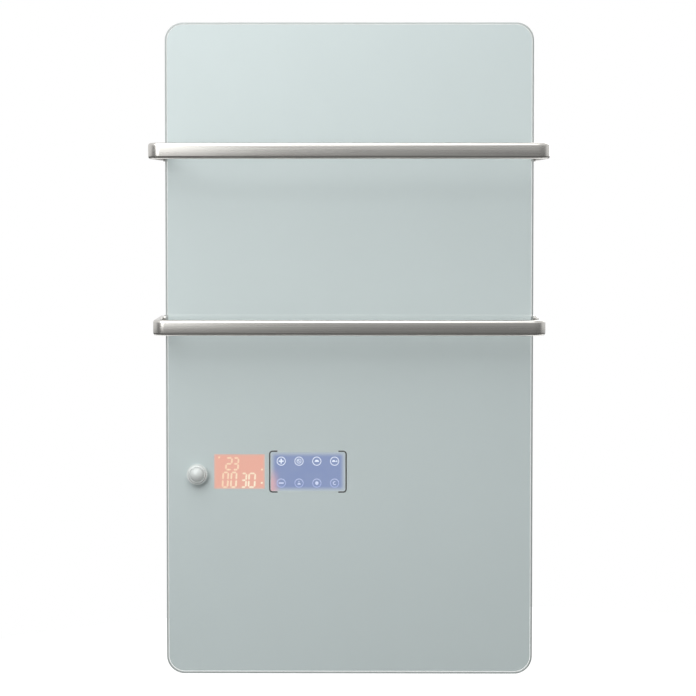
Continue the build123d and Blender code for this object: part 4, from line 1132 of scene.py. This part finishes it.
@dataclass
class SideScrews:
    """Pan head screws with cross recesses, three on each side of the casing."""

    head_radius: float = 0.0038
    head_height: float = 0.0022
    head_segments: int = 32
    shank_radius: float = 0.0020
    shank_length: float = 0.0064
    shank_segments: int = 20
    slot_length: float = 0.00418
    slot_width: float = 0.0009
    slot_depth: float = 0.0012
    per_side: int = 3

    def build(self) -> None:
        """Repeats one screw along both sides with geometry nodes."""
        low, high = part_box("side_screws")
        first, last = low.z + self.head_radius, high.z - self.head_radius
        for side, name, edge in ((-1.0, "side_screws_left", low.x), (1.0, "side_screws_right", high.x)):
            tree = Tree(name + "_row", {
                "Head Segments": self.head_segments,
                "Head Radius": self.head_radius,
                "Head Height": self.head_height,
                "Shank Segments": self.shank_segments,
                "Shank Radius": self.shank_radius,
                "Shank Length": self.shank_length,
                "Slot Length": self.slot_length,
                "Slot Width": self.slot_width,
                "Slot Depth": self.slot_depth,
                "Side": side,
                "First": (edge - side * self.head_height / 2, (low.y + high.y) / 2, first),
                "Step": (0.0, 0.0, (last - first) / (self.per_side - 1)),
                "Count": self.per_side,
            })
            row = {"Count": "Count", "Start Location": "First", "Offset": "Step"}
            turn = tree.vector(y=tree.maths("MULTIPLY", "Side", QUARTER_TURN))
            screws = tree.repeat(self.screw(tree), tree.add("GeometryNodeMeshLine", row), turn)
            piece = tree.build(name, screws, ZINC.material())
            settle(piece, "side_screws", slot="side_screws")

    def screw(self, tree: Tree) -> NodeSocket:
        """Makes one screw that points along z, with its head around the origin.

        Args:
            tree: The tree that grows.

        Returns:
            The screw.
        """
        half_head = tree.maths("MULTIPLY", "Head Height", 0.5)
        deep = tree.maths("MULTIPLY", "Slot Depth", 2.0)
        head = tree.cylinder("Head Segments", "Head Radius", "Head Height")
        for x, y in (("Slot Length", "Slot Width"), ("Slot Width", "Slot Length")):
            slot = tree.add("GeometryNodeMeshCube", {"Size": tree.vector(x, y, deep)})
            cut = {"Mesh 1": head, "Mesh 2": tree.shift(slot, tree.vector(z=half_head))}
            head = tree.add("GeometryNodeMeshBoolean", cut, operation="DIFFERENCE")
        shank = tree.cylinder("Shank Segments", "Shank Radius", "Shank Length")
        below = tree.maths("SUBTRACT", tree.maths("MULTIPLY", "Shank Length", -0.5), half_head)
        return tree.join(head, tree.shift(shank, tree.vector(z=below)))


@dataclass
class GlandGrip:
    """The grip ribs round the cable gland's cap."""

    ribs: int = 24
    rib_width: float = 0.0009
    rib_rise: float = 0.0004
    cap_radius: float = 0.0090
    cap_height: float = 0.0100
    cap_foot: float = 0.0005

    def build(self) -> None:
        """Repeats one rib round the cap with geometry nodes."""
        low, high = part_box("cable_gland")
        height = low.z + self.cap_foot + self.cap_height / 2
        tree = Tree("gland_grip_ring", {
            "Radius": self.cap_radius,
            "Rise": 2 * self.rib_rise,
            "Rib Width": self.rib_width,
            "Rib Height": self.cap_height,
            "Ribs": self.ribs,
            "Middle": ((low.x + high.x) / 2, (low.y + high.y) / 2, height),
        })
        spots = tree.add("GeometryNodeMeshCircle", {"Vertices": "Ribs", "Radius": "Radius"})
        rib = tree.add("GeometryNodeMeshCube", {"Size": tree.vector("Rise", "Rib Width", "Rib Height")})
        share = tree.maths("DIVIDE", tree.add("GeometryNodeInputIndex"), "Ribs")
        turn = tree.vector(z=tree.maths("MULTIPLY", share, FULL_TURN))
        ring = tree.shift(tree.repeat(rib, spots, turn), "Middle")
        settle(tree.build("gland_grip", ring, BLACK_PLASTIC.material()), slot="cable_gland")


@dataclass(frozen=True)
class Lamp:
    """A square soft lamp aimed at the glass.

    Args:
        name: The lamp's name.
        place: Where it stands.
        side: The side of its face.
        power: Its power in watts.
    """

    name: str
    place: Spot
    side: float
    power: float

    def build(self) -> None:
        """Adds the lamp, hidden from the camera and from rays through the glass."""
        data = bpy.data.lights.new(self.name, "AREA")
        data.size, data.energy = self.side, self.power
        lamp = add_object(self.name, data)
        lamp.location = self.place
        lamp.rotation_euler = (-Vector(self.place)).to_track_quat("-Z", "Y").to_euler()
        lamp.visible_camera = False
        lamp.visible_transmission = False


@dataclass
class Studio:
    """The camera, the lamps, the world and the floor."""

    place: Spot = (0.0147, -2.454, 0.1964)
    pitch_down: float = 2.38
    yaw_left: float = 0.39
    lens: float = 101.6
    shift_up: float = -0.11
    lamps: tuple[Lamp, ...] = (
        Lamp("key", (-0.40, -1.00, 1.28), 1.6, 22.0),
        Lamp("left_panel", (-1.12, -2.20, 0.62), 1.25, 15.5),
        Lamp("rear_fill", (0.90, 1.70, 0.90), 1.5, 22.0),
    )
    behind: Point = (-0.35, 0.05)
    above_floor: Point = (-0.22, -0.02)
    overhead: Point = (0.12, 0.32)
    sky: Point = (-0.3, 0.3)
    ambient_low: float = 0.13
    ambient_high: float = 0.45
    floor_level: float = -1.2
    floor_radius: float = 2.2
    floor_segments: int = 96
    floor_centre: Point = (0.3, 1.9)
    floor_lift: float = 0.72

    def build(self) -> None:
        """Makes the camera first, then the light and the floor."""
        self.camera()
        self.world()
        for lamp in self.lamps:
            lamp.build()
        self.floor()
        bpy.context.scene.view_settings.view_transform = "Standard"

    def camera(self) -> None:
        """Places the camera where the photograph was taken from."""
        data = bpy.data.cameras.new("camera")
        data.lens, data.shift_y = self.lens, self.shift_up
        camera = add_object("camera", data)
        camera.location = self.place
        camera.rotation_euler = (math.radians(90 - self.pitch_down), 0, math.radians(self.yaw_left))
        bpy.context.scene.camera = camera

    def world(self) -> None:
        """Lights evenly, and shows white to some of the rays.

        The camera sees white. So do mirrored rays that go overhead or behind the heater above
        the floor, and rays through the glass that go behind the heater.
        """
        world = bpy.data.worlds.new("studio")
        bpy.context.scene.world = world
        world.use_nodes = True
        world.node_tree.nodes.clear()
        nodes = Nodes(world.node_tree)
        ray = nodes.node("ShaderNodeLightPath").outputs
        way = nodes.axes(nodes.place("Generated"))
        behind = nodes.remap(way["Y"], *self.behind)
        backdrop = nodes.maths("MULTIPLY", behind, nodes.remap(way["Z"], *self.above_floor))
        bright = nodes.maths("MAXIMUM", backdrop, nodes.remap(way["Z"], *self.overhead))
        mirrored = nodes.maths("MULTIPLY", ray["Is Glossy Ray"], bright)
        through = nodes.maths("MULTIPLY", ray["Is Transmission Ray"], behind)
        shown = nodes.maths("MAXIMUM", nodes.maths("MAXIMUM", mirrored, through), ray["Is Camera Ray"])
        ambient = nodes.remap(way["Z"], *self.sky, self.ambient_low, self.ambient_high)
        level = nodes.remap(shown, 0.0, 1.0, ambient)
        background = nodes.add("ShaderNodeBackground", {"Color": WHITE, "Strength": level})
        nodes.node("ShaderNodeOutputWorld", {"Surface": background})

    def floor(self) -> None:
        """Adds a wide pale floor below the heater."""
        shape = bmesh.new()
        bmesh.ops.create_circle(shape, cap_ends=True, segments=self.floor_segments, radius=self.floor_radius)
        for vertex in shape.verts:
            vertex.co += Vector((*self.floor_centre, self.floor_level))
        mesh = bpy.data.meshes.new("floor")
        shape.to_mesh(mesh)
        shape.free()
        mesh.materials.append(FloorPaint("pale_floor", self.floor_lift).material())
        add_object("floor", mesh)


def dress_nodes() -> None:
    """Gives every carried-over CAD node its finish."""
    for finish, names in NODE_FINISHES.items():
        for name in names:
            paint(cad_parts[name], finish.material())


def main() -> None:
    """Builds the studio and the heater's pieces in order."""
    Studio().build()
    dress_nodes()
    FrontGlass().build()
    TowelRail("towel_rail_upper", "upper_rail", height=0.242, standoff=0.104).build()
    TowelRail("towel_rail_lower", "lower_rail", height=0.031, standoff=0.056).build()
    Display().build()
    TouchKeys().build()
    SensorDome().build()
    SideScrews().build()
    GlandGrip().build()


if __name__ == "__main__":
    main()
